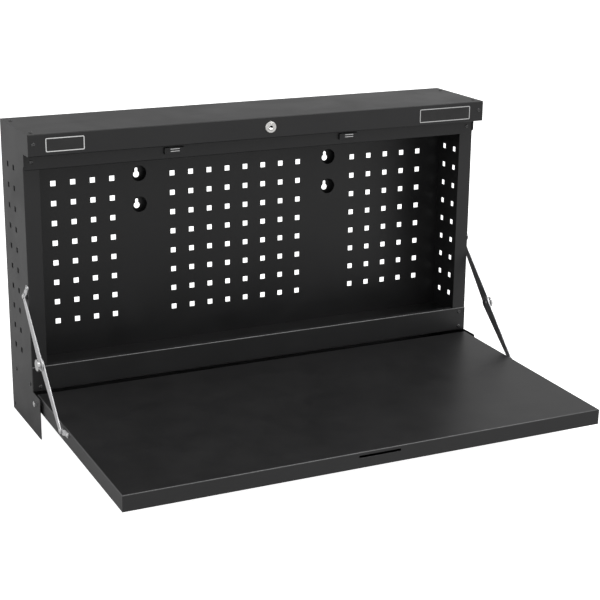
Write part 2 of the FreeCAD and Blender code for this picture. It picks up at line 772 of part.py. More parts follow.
def bottom_shelf():
    """The floor of the cabinet, folded down on all four sides."""
    front = FRAME + BEND
    bottom = SHELF_TOP - SHELF_FLANGE
    outside = block((-WEB_INSIDE, WEB_INSIDE), (front, BACK_FACE), (bottom, SHELF_TOP))
    inside = block((-WEB_INSIDE + SHEET, WEB_INSIDE - SHEET), (front + SHEET, BACK_FACE - SHEET),
                   (bottom - 1, SHELF_TOP - SHEET))
    front_cut = block((-HALF, HALF), (front - 1, front + RAIL_RETURN + SEAM),
                      (bottom - 1, BOTTOM_RAIL_BOTTOM + SHEET))
    beside = block((OPENING_HALF - SEAM, WEB_INSIDE - SHEET), (front - 1, front + SHEET),
                   (bottom - 1, SHELF_TOP - SHEET))
    tools = [inside, front_cut] + both_sides(beside)
    return cut_all(outside, tools + holes_for(side_screw_seats()))


# ------------------------------------------------------------- lock
def lock_housing():
    """The fixed barrel of the lock, with its face on the header."""
    face = Vector(0, HEADER_FACE - LOCK_FACE_HEIGHT, LOCK_Z)
    rear = Vector(0, CAM_MIDDLE - CAM_THICKNESS / 2 - SEAM, LOCK_Z)
    rosette = dome_head(LOCK_FACE, LOCK_FACE_HEIGHT, Vector(0, HEADER_FACE, LOCK_Z), -INTO_WALL)
    barrel = rod(LOCK_BARREL / 2, Vector(0, HEADER_FACE, LOCK_Z), rear)
    bore = rod(PLUG / 2 + RUNNING_FIT, face - INTO_WALL, rear + INTO_WALL)
    return fused([rosette, barrel]).cut(bore)


def lock_nut():
    """The nut that clamps the lock to the back of the header."""
    start = Vector(0, HEADER_BACK, LOCK_Z)
    end = start + INTO_WALL * LOCK_NUT_HEIGHT
    nut = hexagon(LOCK_NUT_ACROSS_FLATS, start, end)
    return nut.cut(rod(LOCK_BARREL / 2, start - INTO_WALL, end + INTO_WALL))


def lock_plug():
    """The part that the key turns, with a square tail for the cam."""
    front = Vector(0, HEADER_FACE - LOCK_FACE_HEIGHT - PLUG_PROUD, LOCK_Z)
    shoulder = Vector(0, CAM_MIDDLE - CAM_THICKNESS / 2, LOCK_Z)
    half = CAM_DRIVE / 2
    tail = block((-half, half), (shoulder.y, shoulder.y + CAM_THICKNESS),
                 (LOCK_Z - half, LOCK_Z + half))
    keyway = block((-KEYWAY_LENGTH / 2, KEYWAY_LENGTH / 2), (front.y - 1, front.y + KEYWAY_DEPTH),
                   (LOCK_Z - KEYWAY_WIDTH / 2, LOCK_Z + KEYWAY_WIDTH / 2))
    tail_rear = shoulder + INTO_WALL * CAM_THICKNESS
    thread = rod(CAM_SCREW / 2, tail_rear - INTO_WALL * SCREW_LENGTH, tail_rear + INTO_WALL)
    return cut_all(fused([rod(PLUG / 2, front, shoulder), tail]), [keyway, thread])


def lock_cam():
    """The lever behind the lock, standing level while the worktop is open."""
    near = CAM_MIDDLE - CAM_THICKNESS / 2
    centre = Vector(0, near, LOCK_Z)
    radius = CAM_WIDTH / 2
    tip = Vector(CAM_LENGTH - radius, near, LOCK_Z)
    through = INTO_WALL * CAM_THICKNESS
    lever = fused([
        rod(radius, centre, centre + through),
        rod(radius, tip, tip + through),
        block((0, tip.x), (near, near + CAM_THICKNESS), (LOCK_Z - radius, LOCK_Z + radius)),
    ])
    half = CAM_DRIVE / 2
    return lever.cut(block((-half, half), (near - 1, near + CAM_THICKNESS + 1),
                           (LOCK_Z - half, LOCK_Z + half)))


def cam_screw():
    """The screw that holds the cam on the plug."""
    seat = Vector(0, CAM_MIDDLE + CAM_THICKNESS / 2, LOCK_Z)
    return screw(seat, INTO_WALL, CAM_SCREW, SCREW_LENGTH, CAM_SCREW_HEAD, SCREW_HEAD_HEIGHT)


# ------------------------------------------------------------- catches
def pole_ranges(middle):
    """X range of a catch's poles and the Z range of each of the two."""
    x = middle.x + POLE_SHIFT
    x_range = (x - POLE_WIDTH / 2, x + POLE_WIDTH / 2)
    z_ranges = []
    for side in (-1, 1):
        z = middle.z + POLE_RISE + side * POLE_SPACING / 2
        z_ranges.append((z - POLE_THICKNESS / 2, z + POLE_THICKNESS / 2))
    return x_range, z_ranges


def catch_depths():
    """Face and rear of a catch body."""
    return CLOSED_FACE + CATCH_CLOSING_GAP, FRAME + CATCH_REAR


def catch_poles(middle):
    """The two steel strips that the closed worktop is pulled against."""
    x_range, z_ranges = pole_ranges(middle)
    face, rear = catch_depths()
    y_range = (face - POLE_PROUD, rear - CATCH_COLLAR_THICKNESS)
    return [block(x_range, y_range, z_range) for z_range in z_ranges]


def catch_magnet(middle):
    """The magnet between the two poles."""
    x_range, z_ranges = pole_ranges(middle)
    face, rear = catch_depths()
    y_range = (face + CATCH_COLLAR_THICKNESS, rear - CATCH_COLLAR_THICKNESS)
    return block(x_range, y_range, (z_ranges[0][1], z_ranges[1][0]))


def catch_body(middle):
    """The plastic housing of a catch, gripping the edge of its cut-out."""
    face, rear = catch_depths()
    half_w = CATCH_CUT_WIDTH / 2 - CATCH_PLAY
    half_h = CATCH_CUT_HEIGHT / 2 - CATCH_PLAY
    nose = block((middle.x - half_w, middle.x + half_w), (face, rear),
                 (middle.z - half_h, middle.z + half_h))
    collar_w = half_w + CATCH_COLLAR
    collar_h = half_h + CATCH_COLLAR
    collar = block((middle.x - collar_w, middle.x + collar_w),
                   (FRAME, FRAME + CATCH_COLLAR_THICKNESS),
                   (middle.z - collar_h, middle.z + collar_h))
    return cut_all(fused([nose, collar]), catch_poles(middle) + [catch_magnet(middle)])


# ------------------------------------------------------------- header plates
def header_plate(x_range, z_range):
    """A blank plate with a raised rim and rounded corners."""
    def slab(inset, front, rear):
        low_x = x_range[0] + inset
        high_x = x_range[1] - inset
        low_z = z_range[0] + inset
        high_z = z_range[1] - inset
        corners = [
            Vector(low_x, rear, low_z),
            Vector(high_x, rear, low_z),
            Vector(high_x, rear, high_z),
            Vector(low_x, rear, high_z),
        ]
        radius = PLATE_CORNER - inset
        wire = rounded_outline(corners, [radius] * 4)
        return Part.Face(wire).extrude(INTO_WALL * (front - rear))

    floor = HEADER_FACE - PLATE_THICKNESS
    plate = slab(0, floor - PLATE_RIM_HEIGHT, HEADER_FACE)
    return plate.cut(slab(PLATE_RIM, floor - PLATE_RIM_HEIGHT - 1, floor))


def left_nameplate():
    left = -HALF + LEFT_PLATE_EDGE
    high = TOP - PLATE_TOP_DROP
    return header_plate((left, left + LEFT_PLATE_WIDTH), (high - LEFT_PLATE_HEIGHT, high))


def right_nameplate():
    right = HALF - RIGHT_PLATE_EDGE
    high = TOP - PLATE_TOP_DROP
    return header_plate((right - RIGHT_PLATE_WIDTH, right), (high - RIGHT_PLATE_HEIGHT, high))


# ------------------------------------------------------------- worktop
def laid_open(shape):
    """Turn a worktop piece from level to its open slope, about the hinge."""
    turned = shape.copy()
    turned.rotate(Vector(0, HINGE_Y, HINGE_Z), RIGHT_X, DROOP)
    return turned


def level_range(ahead_low, ahead_high):
    """Y range of a piece of the level worktop."""
    return HINGE_Y - ahead_high, HINGE_Y - ahead_low


def lock_slot():
    """The slot that the lock's cam enters when the worktop is shut."""
    y_range = level_range(HINGE_TO_FRONT - RIB_SETBACK / 2, HINGE_TO_FRONT + 1)
    z = HINGE_Z + HALF_THICK - LOCK_SLOT_DROP
    x_range = (LOCK_SLOT_SHIFT - LOCK_SLOT_LENGTH / 2, LOCK_SLOT_SHIFT + LOCK_SLOT_LENGTH / 2)
    return block(x_range, y_range, (z - LOCK_SLOT_WIDTH / 2, z + LOCK_SLOT_WIDTH / 2))


def worktop_top_skin():
    """The top face and the four walls of the worktop."""
    z_range = (HINGE_Z - HALF_THICK, HINGE_Z + HALF_THICK)
    y_range = level_range(-HINGE_TO_REAR, HINGE_TO_FRONT)
    outside = block((-WORKTOP_HALF, WORKTOP_HALF), y_range, z_range)
    top_edges = [e for e in outside.Edges if e.CenterOfMass.z > z_range[1] - 1e-3]
    outside = outside.makeFillet(BEND, top_edges)
    inside = block((-WORKTOP_HALF + SHEET, WORKTOP_HALF - SHEET),
                   (y_range[0] + SHEET, y_range[1] - SHEET), (z_range[0] - 1, z_range[1] - SHEET))
    hinge = Vector(WORKTOP_HALF - SHEET - 1, HINGE_Y, HINGE_Z)
    hinge_hole = rod(HINGE_BOLT / 2 + RUNNING_FIT, hinge, hinge + RIGHT_X * (SHEET + 2))
    level = cut_all(outside, [inside, lock_slot()] + both_sides(hinge_hole))
    bracket_seat = (lower_bracket_screw(WORKTOP_HALF + BRACKET_THICKNESS), RIGHT_X)
    return cut_all(laid_open(level), holes_for([bracket_seat]))


def worktop_bottom_skin():
    """The lower skin, a shallow tray inside the walls of the top skin."""
    half = WORKTOP_HALF - SHEET
    y_low, y_high = level_range(-HINGE_TO_REAR + SHEET, HINGE_TO_FRONT - SHEET)
    bottom = HINGE_Z - HALF_THICK
    outside = block((-half, half), (y_low, y_high), (bottom, bottom + SKIN_FLANGE))
    bottom_edges = [e for e in outside.Edges if e.CenterOfMass.z < bottom + 1e-3]
    outside = outside.makeFillet(BEND, bottom_edges)
    inside = block((-half + SHEET, half - SHEET), (y_low + SHEET, y_high - SHEET),
                   (bottom + SHEET, bottom + SKIN_FLANGE + 1))
    return laid_open(outside.cut(inside))


def worktop_ribs():
    """Channels that join the two skins, running from front to rear."""
    y_range = level_range(-HINGE_TO_REAR + RIB_SETBACK, HINGE_TO_FRONT - RIB_SETBACK)
    z_range = (HINGE_Z - HALF_THICK + SHEET, HINGE_Z + HALF_THICK - SHEET)
    ribs = []
    for i in range(RIBS):
        x = (i - (RIBS - 1) / 2) * RIB_PITCH
        outside = block((x - RIB_WIDTH / 2, x + RIB_WIDTH / 2), y_range, z_range)
        inside = block((x - RIB_WIDTH / 2 + SHEET, x + RIB_WIDTH / 2 + 1),
                       (y_range[0] - 1, y_range[1] + 1), (z_range[0] + SHEET, z_range[1] - SHEET))
        ribs.append(laid_open(outside.cut(inside)))
    return ribs


# ------------------------------------------------------------- hinge
def hinge_bolt():
    """The hexagon bolt that the worktop turns on, through the lug of the side panel."""
    seat = Vector(HALF, HINGE_Y, HINGE_Z)
    tip = Vector(WORKTOP_HALF - SHEET - BODY_GAP - NUT_HEIGHT - 1, HINGE_Y, HINGE_Z)
    head = hexagon(HINGE_HEAD, seat, seat + RIGHT_X * HINGE_HEAD_HEIGHT)
    return head.fuse(rod(HINGE_BOLT / 2, tip, seat)).removeSplitter()


def hinge_spacer():
    """The washer that keeps the worktop off the side panel."""
    start = Vector(WORKTOP_HALF + BODY_GAP, HINGE_Y, HINGE_Z)
    end = Vector(WEB_INSIDE, HINGE_Y, HINGE_Z)
    bore = rod(HINGE_BOLT / 2, start - RIGHT_X, end + RIGHT_X)
    return rod(SPACER_DIAMETER / 2, start, end).cut(bore)


def hinge_nut():
    """The lock nut inside the worktop."""
    end = Vector(WORKTOP_HALF - SHEET - BODY_GAP, HINGE_Y, HINGE_Z)
    start = end - RIGHT_X * NUT_HEIGHT
    bore = rod(HINGE_BOLT / 2, start - RIGHT_X, end + RIGHT_X)
    return hexagon(NUT_ACROSS_FLATS, start, end).cut(bore)


# ------------------------------------------------------------- stays
def upper_bracket():
    """The bracket on the side panel that carries the upper arm."""
    bracket = joggled_bracket(upper_bracket_screw(HALF), upper_pivot(HALF), BRACKET_WIDTH,
                              UPPER_ARM_INSIDE - ARM_PLAY - BRACKET_THICKNESS - HALF)
    pivot = upper_pivot(HALF)
    rivet_hole = rod(RIVET / 2, pivot, pivot + RIGHT_X * (ARM_STANDOFF + 2 * BRACKET_THICKNESS))
    seat = (upper_bracket_screw(HALF + BRACKET_THICKNESS), RIGHT_X)
    return cut_all(bracket, [rivet_hole, screw_hole(*seat)])


def upper_pivot_rivet():
    """The rivet that the upper arm swings on."""
    ear_inside = UPPER_ARM_INSIDE - ARM_PLAY - BRACKET_THICKNESS
    head_seat = upper_pivot(UPPER_ARM_OUTSIDE + BODY_GAP)
    return fused([
        rod(RIVET_HEAD / 2, upper_pivot(ear_inside - RIVET_TAIL), upper_pivot(ear_inside)),
        rod(RIVET / 2, upper_pivot(ear_inside), head_seat),
        dome_head(RIVET_HEAD, RIVET_HEAD_HEIGHT, head_seat, RIGHT_X),
    ])


def upper_arm():
    """The outer arm of a stay, from the side panel to the elbow."""
    start = upper_pivot(UPPER_ARM_INSIDE)
    end = elbow(UPPER_ARM_INSIDE)
    link = tapered_link(start, ARM_END_WIDTH / 2, end, ARM_ELBOW_WIDTH / 2, ARM_THICKNESS)
    through = RIGHT_X * (ARM_THICKNESS + 2)
    holes = [
        rod(RIVET / 2 + RUNNING_FIT, start - RIGHT_X, start - RIGHT_X + through),
        rod(STUD / 2, end - RIGHT_X, end - RIGHT_X + through),
    ]
    return cut_all(link, holes)


def elbow_stud():
    """The stud through the elbow, with the round knob that is pushed to fold."""
    tail_face = LOWER_ARM_INSIDE - ARM_PLAY - BODY_GAP / 3
    knob_seat = elbow(UPPER_ARM_OUTSIDE + KNOB_NECK)
    knob = rod(KNOB_DIAMETER / 2, knob_seat, knob_seat + RIGHT_X * KNOB_THICKNESS)
    knob = knob.makeFillet(KNOB_CORNER, [e for e in knob.Edges if e.Closed])
    return fused([
        rod(RIVET_HEAD / 2, elbow(tail_face - RIVET_TAIL), elbow(tail_face)),
        rod(STUD / 2, elbow(tail_face), knob_seat),
        knob,
    ])


def lower_arm():
    """The inner arm of a stay, from the elbow to the worktop."""
    start = lower_pivot(LOWER_ARM_INSIDE)
    end = elbow(LOWER_ARM_INSIDE)
    link = tapered_link(start, ARM_END_WIDTH / 2, end, ARM_ELBOW_WIDTH / 2, ARM_THICKNESS)
    through = RIGHT_X * (ARM_THICKNESS + 2)
    holes = [
        rod(RIVET / 2, start - RIGHT_X, start - RIGHT_X + through),
        rod(STUD / 2 + RUNNING_FIT, end - RIGHT_X, end - RIGHT_X + through),
    ]
    return cut_all(link, holes)


def lower_pivot_rivet():
    """The rivet at the foot of the lower arm, flush with the arm's inner face."""
    return fused([
        rod(RIVET / 2, lower_pivot(LOWER_ARM_INSIDE), lower_pivot(LOWER_ARM_OUTSIDE)),
        dome_head(RIVET_HEAD, RIVET_HEAD_HEIGHT, lower_pivot(LOWER_ARM_OUTSIDE), RIGHT_X),
    ])


def lower_bracket():
    """The bracket on the worktop's side that the lower arm is riveted to."""
    step = LOWER_ARM_INSIDE - BODY_GAP - BRACKET_THICKNESS - WORKTOP_HALF
    bracket = joggled_bracket(lower_bracket_screw(WORKTOP_HALF), lower_pivot(WORKTOP_HALF),
                              LOWER_BRACKET_WIDTH, step)
    pivot = lower_pivot(WORKTOP_HALF)
    rivet_hole = rod(RIVET / 2, pivot, pivot + RIGHT_X * (step + 2 * BRACKET_THICKNESS))
    seat = (lower_bracket_screw(WORKTOP_HALF + BRACKET_THICKNESS), RIGHT_X)
    return cut_all(bracket, [rivet_hole, screw_hole(*seat)])


# ------------------------------------------------------------- write the nodes
os.makedirs("parts", exist_ok=True)

save("back_panel", back_panel())
save_pair("back_angle", right_back_angle())
save_pair("wall_channel", right_wall_channel())
save_pair("side_panel", right_side_panel())
save("top_panel", top_panel())
save("top_rail", top_rail())
save("bottom_rail", bottom_rail())
save("bottom_shelf", bottom_shelf())

save("top_panel_screws", screws_for(top_screw_seats()))
save("header_screws", screws_for(header_screw_seats()))
save("top_rail_screws", screws_for(top_rail_screw_seats()))
save("bottom_rail_screws", screws_for(bottom_rail_screw_seats()))
save("side_screws", screws_for(side_screw_seats()))

save("lock_housing", lock_housing())
save("lock_nut", lock_nut())
save("lock_plug", lock_plug())
save("lock_cam", lock_cam())
save("cam_screw", cam_screw())

for side_name, catch_middle in zip(("left", "right"), catch_middles()):
    save(side_name + "_catch_body", catch_body(catch_middle))
    save(side_name + "_catch_poles", catch_poles(catch_middle))
    save(side_name + "_catch_magnet", catch_magnet(catch_middle))

save("left_nameplate", left_nameplate())
save("right_nameplate", right_nameplate())

save("worktop_top_skin", worktop_top_skin())
save("worktop_bottom_skin", worktop_bottom_skin())
save("worktop_ribs", worktop_ribs())

save("hinge_bolts", both_sides(hinge_bolt()))
save("hinge_spacers", both_sides(hinge_spacer()))
save("hinge_nuts", both_sides(hinge_nut()))

save_pair("upper_bracket", upper_bracket())
save_pair("lower_bracket", lower_bracket())
save("upper_bracket_screws",
     screws_for([(upper_bracket_screw(HALF + BRACKET_THICKNESS), RIGHT_X)]))
save("lower_bracket_screws",
     screws_for([(lower_bracket_screw(WORKTOP_HALF + BRACKET_THICKNESS), RIGHT_X)]))
save("upper_pivot_rivets", both_sides(upper_pivot_rivet()))
save_pair("upper_arm", upper_arm())
save_pair("lower_arm", lower_arm())
save_pair("elbow_stud", elbow_stud())
save_pair("lower_pivot_rivet", lower_pivot_rivet())
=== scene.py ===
# %% [markdown]
# # A wall cabinet whose door folds down into a worktop
#
# The cabinet is folded sheet steel with a satin black powder coat. Its construction comes ready
# made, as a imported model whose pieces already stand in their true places. This notebook lights the
# cabinet, gives every piece its finish, and replaces the small hardware that catches the light,
# such as the stays, the lock and the screws, with finely shaped meshes.

import json
import math

import bmesh
import bpy
import numpy as np
from mathutils import Matrix, Vector


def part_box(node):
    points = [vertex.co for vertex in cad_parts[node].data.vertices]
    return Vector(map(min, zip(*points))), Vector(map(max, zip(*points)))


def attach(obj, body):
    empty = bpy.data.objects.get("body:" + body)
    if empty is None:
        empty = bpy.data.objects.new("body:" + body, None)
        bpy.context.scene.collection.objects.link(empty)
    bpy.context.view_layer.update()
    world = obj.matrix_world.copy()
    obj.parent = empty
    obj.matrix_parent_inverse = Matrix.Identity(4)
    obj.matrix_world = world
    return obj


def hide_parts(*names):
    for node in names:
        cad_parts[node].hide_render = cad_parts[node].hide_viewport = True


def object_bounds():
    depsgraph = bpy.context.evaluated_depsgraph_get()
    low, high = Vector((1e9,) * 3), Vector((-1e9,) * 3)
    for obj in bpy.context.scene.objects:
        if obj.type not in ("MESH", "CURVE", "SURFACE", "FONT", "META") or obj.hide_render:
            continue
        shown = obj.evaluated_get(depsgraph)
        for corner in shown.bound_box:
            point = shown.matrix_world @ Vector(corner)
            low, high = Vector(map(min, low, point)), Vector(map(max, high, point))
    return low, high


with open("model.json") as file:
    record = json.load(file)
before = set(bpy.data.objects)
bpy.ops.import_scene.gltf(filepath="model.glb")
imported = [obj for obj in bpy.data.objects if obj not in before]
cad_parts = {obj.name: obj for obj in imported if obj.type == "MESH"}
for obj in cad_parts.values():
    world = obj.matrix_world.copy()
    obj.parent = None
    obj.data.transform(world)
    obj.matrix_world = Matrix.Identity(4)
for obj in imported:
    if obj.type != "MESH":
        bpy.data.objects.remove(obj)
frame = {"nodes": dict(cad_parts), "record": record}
nodes = frame["nodes"]
cad_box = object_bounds()
body_of = {
    node: body
    for body, members in frame["record"]["behaviour"]["bodies"].items()
    for node in members
}
print("size in metres:", [round(c, 3) for c in cad_box[1] - cad_box[0]])

# %% [markdown]
# ## Camera
#
# The view is from the left and a little above, through a long lens, so the uprights stay nearly
# parallel. A lens can be given as a focal length in pixels, which is what a measured view yields.
# In millimetres it is that number divided by the width of the image and multiplied by the width
# of the sensor. The camera is turned in three steps, each about one plain axis.

# %% Place the camera
IMAGE_PIXELS = 600
FOCAL_PIXELS = 1518.5
SENSOR_MM = 36.0
EYE = Vector((-1.1502, -2.6829, 0.6373))
HEADING = 25.84                        # degrees from +Y towards +X
PITCH_DOWN = 16.99
ROLL = 0.556

camera_data = bpy.data.cameras.new("camera")
camera_data.sensor_width = SENSOR_MM
camera_data.lens = FOCAL_PIXELS / IMAGE_PIXELS * SENSOR_MM
camera = bpy.data.objects.new("camera", camera_data)
bpy.context.scene.collection.objects.link(camera)
bpy.context.scene.camera = camera
camera.matrix_world = (
    Matrix.Translation(EYE)
    @ Matrix.Rotation(-math.radians(HEADING), 4, "Z")
    @ Matrix.Rotation(math.radians(90 - PITCH_DOWN), 4, "X")
    @ Matrix.Rotation(math.radians(ROLL), 4, "Z")
)
print("lens:", round(camera_data.lens, 1), "mm")

# %% [markdown]
# ## Floor
#
# For its portrait the cabinet stands on the feet of its side panels, on one very large pale square
# that also serves as the backdrop, because the camera looks down on it. So close a floor lets no
# light up behind the bottom rail, and the gap under the rail stays black. The floor glows white
# where the camera sees it directly, as overexposed studio paper does, while the cabinet's satin
# paint mirrors only its plain pale colour. The Light Path node tells the two kinds of ray apart.

# %% Lay the floor
FLOOR_DROP = 0.002                     # metres from the cabinet's feet to the floor
FLOOR_HALF = 30.0
FLOOR_GREY = 0.72

bpy.context.scene.view_settings.view_transform = "Standard"


def lay_floor():
    """A square of four corners at one height."""
    z = cad_box[0].z - FLOOR_DROP
    corners = FLOOR_HALF * np.array([(-1, -1, 0), (1, -1, 0), (1, 1, 0), (-1, 1, 0)]) + (0, 0, z)
    mesh = bpy.data.meshes.new("floor")
    mesh.from_pydata(corners.tolist(), [], [(0, 1, 2, 3)])
    paper = bpy.data.materials.new("studio_paper")
    paper.use_nodes = True
    tree = paper.node_tree
    surface = tree.nodes["Principled BSDF"]
    surface.inputs["Base Color"].default_value = (FLOOR_GREY, FLOOR_GREY, FLOOR_GREY, 1)
    surface.inputs["Roughness"].default_value = 0.9
    surface.inputs["Emission Color"].default_value = (1, 1, 1, 1)
    ray = tree.nodes.new("ShaderNodeLightPath")
    tree.links.new(ray.outputs["Is Camera Ray"], surface.inputs["Emission Strength"])
    mesh.materials.append(paper)
    floor = bpy.data.objects.new("floor", mesh)
    bpy.context.scene.collection.objects.link(floor)
    return floor


floor = lay_floor()
print("floor at z =", round(floor.data.vertices[0].co.z, 2))

# %% [markdown]
# ## Light
#
# Satin black shows itself by what it mirrors, so a black cabinet is lit by large pale surfaces
# rather than by lamps. A soft surround fills the room: bright on both sides, softer ahead and
# overhead, and darker behind the cabinet. A smooth surround needs only one strength for each of
# the six directions. The squares of a direction's three coordinates always add up to one, so they
# serve as the shares in which it takes those strengths.

# %% Fill the surround
SURROUND_TOWARDS = (0.97, 0.34, 0.67)  # strength to the right, behind and above
SURROUND_AWAY = (1.26, 0.68, 0.0)      # strength to the left, ahead and below


def fill_surround(towards, away):
    """Strength = sum over X, Y and Z of square * strength on that side."""
    world = bpy.data.worlds.new("surround")
    bpy.context.scene.world = world
    world.use_nodes = True
    tree = world.node_tree
    tree.nodes["Background"].inputs["Color"].default_value = (1, 1, 1, 1)
    direction = tree.nodes.new("ShaderNodeTexCoord").outputs["Generated"]
    shares = []
    for sign, strengths in ((1, towards), (-1, away)):
        side = tree.nodes.new("ShaderNodeVectorMath")
        side.operation = "MULTIPLY"
        side.inputs[1].default_value = (sign, sign, sign)
        facing = tree.nodes.new("ShaderNodeVectorMath")
        facing.operation = "MAXIMUM"
        square = tree.nodes.new("ShaderNodeVectorMath")
        square.operation = "MULTIPLY"
        share = tree.nodes.new("ShaderNodeVectorMath")
        share.operation = "DOT_PRODUCT"
        share.inputs[1].default_value = strengths
        tree.links.new(direction, side.inputs[0])
        tree.links.new(side.outputs[0], facing.inputs[0])
        tree.links.new(facing.outputs[0], square.inputs[0])
        tree.links.new(facing.outputs[0], square.inputs[1])
        tree.links.new(square.outputs[0], share.inputs[0])
        shares.append(share.outputs["Value"])
    total = tree.nodes.new("ShaderNodeMath")
    tree.links.new(shares[0], total.inputs[0])
    tree.links.new(shares[1], total.inputs[1])
    tree.links.new(total.outputs[0], tree.nodes["Background"].inputs["Strength"])


fill_surround(SURROUND_TOWARDS, SURROUND_AWAY)
print("surround:", SURROUND_TOWARDS, SURROUND_AWAY)

# %% [markdown]
# A narrow soft panel overhead adds what a smooth surround can't: a bright line along each upper
# edge, on the rims of the plated stays and on the lock.

# %% Hang the panel
PANEL_POWER = 24


def hang_panel(name, position, target, size, power):
    """A soft rectangular light that faces its target and stays out of the picture."""
    data = bpy.data.lights.new(name, "AREA")
    data.shape = "RECTANGLE"
    data.size, data.size_y = size
    data.energy = power
    panel = bpy.data.objects.new(name, data)
    bpy.context.scene.collection.objects.link(panel)
    aim = (Vector(target) - Vector(position)).to_track_quat("-Z", "Y")
    panel.matrix_world = Matrix.Translation(position) @ aim.to_matrix().to_4x4()
    panel.visible_camera = False
    return panel


hang_panel("panel_overhead", (1.2, -1.4, 2.2), (0.3, -0.2, 0), (2.0, 0.5), PANEL_POWER)
print("panel power:", PANEL_POWER, "W")

# %% [markdown]
# ## Effects that several finishes share
#
# Real paint and plating are never one even colour. Each effect below is a small shader group with
# named inputs and outputs, built once and placed in every finish that needs it with that finish's
# own values. The groups put out only masks, heights and normals. The shader itself stays in the
# finish, where its plain numbers can be read at a glance.

# %% A helper that starts a shader group
VALUE, VECTOR = "NodeSocketFloat", "NodeSocketVector"


class Nodes:
    """Adds nodes to a tree and joins their sockets by name."""

    def __init__(self, tree):
        self.tree = tree

    def fill(self, node, **values):
        """Give a node's inputs their values. A number is set, and another socket is joined.

        Sockets are named in full, with underscores for spaces, or numbered as in _0.
        """
        for label, value in values.items():
            key = int(label[1:]) if label[0] == "_" else label.replace("_", " ")
            socket = node.inputs[key]
            if isinstance(value, bpy.types.NodeSocket):
                self.tree.links.new(value, socket)
            else:
                socket.default_value = value
        return node

    def add(self, kind, operation=None, **values):
        """A new node of one kind, with its inputs filled."""
        node = self.tree.nodes.new("ShaderNode" + kind)
        if operation is not None:
            node.operation = operation
        return self.fill(node, **values)

    def give(self, result, **outputs):
        """Join what a group has worked out to the group's own outputs."""
        for label, socket in outputs.items():
            self.tree.links.new(socket, result[label])


def shader_group(name, inputs, outputs):
    """An empty group with its sockets: inputs hold (label, kind, start value)."""
    tree = bpy.data.node_groups.new(name, "ShaderNodeTree")
    for label, kind, start in inputs:
        tree.interface.new_socket(label, in_out="INPUT", socket_type=kind).default_value = start
    for label, kind in outputs:
        tree.interface.new_socket(label, in_out="OUTPUT", socket_type=kind)
    entry = tree.nodes.new("NodeGroupInput")
    leave = tree.nodes.new("NodeGroupOutput")
    return Nodes(tree), entry.outputs, leave.inputs


# %% [markdown]
# ### Coat texture
#
# Powder coat is sprayed as dust and melted in an oven. It keeps a fine pebbled skin, called orange
# peel, over a slower ripple where the film is thicker or thinner. Two noises of different size give
# both, and the slow one also serves as a cloud that shifts the gloss a little from place to place.

# %% Group: coat texture
def build_coat_texture():
    make, given, result = shader_group(
        "coat_texture",
        [("Grain Size", VALUE, 0.001), ("Cloud Size", VALUE, 0.08)],
        [("Height", VALUE), ("Cloud", VALUE)],
    )
    place = make.add("TexCoord").outputs["Object"]
    fine = make.add("Math", "DIVIDE", _0=1.0, _1=given["Grain Size"]).outputs[0]
    slow = make.add("Math", "DIVIDE", _0=1.0, _1=given["Cloud Size"]).outputs[0]
    ripple = make.add("Math", "MULTIPLY", _0=fine, _1=0.22).outputs[0]
    pebbles = make.add("TexNoise", Vector=place, Scale=fine, Detail=2.0, Roughness=0.55)
    swell = make.add("TexNoise", Vector=place, Scale=ripple, Detail=1.0)
    cloud = make.add("TexNoise", Vector=place, Scale=slow, Detail=3.0, Distortion=0.6)
    peel = make.add("Math", "MULTIPLY_ADD", _0=swell.outputs[0], _1=0.7, _2=pebbles.outputs[0])
    spread = make.add("MapRange", Value=cloud.outputs[0], From_Min=0.32, From_Max=0.68)
    make.give(result, Height=peel.outputs[0], Cloud=spread.outputs[0])
    return make.tree


coat_texture = build_coat_texture()
print("group:", coat_texture.name, [s.name for s in coat_texture.interface.items_tree])
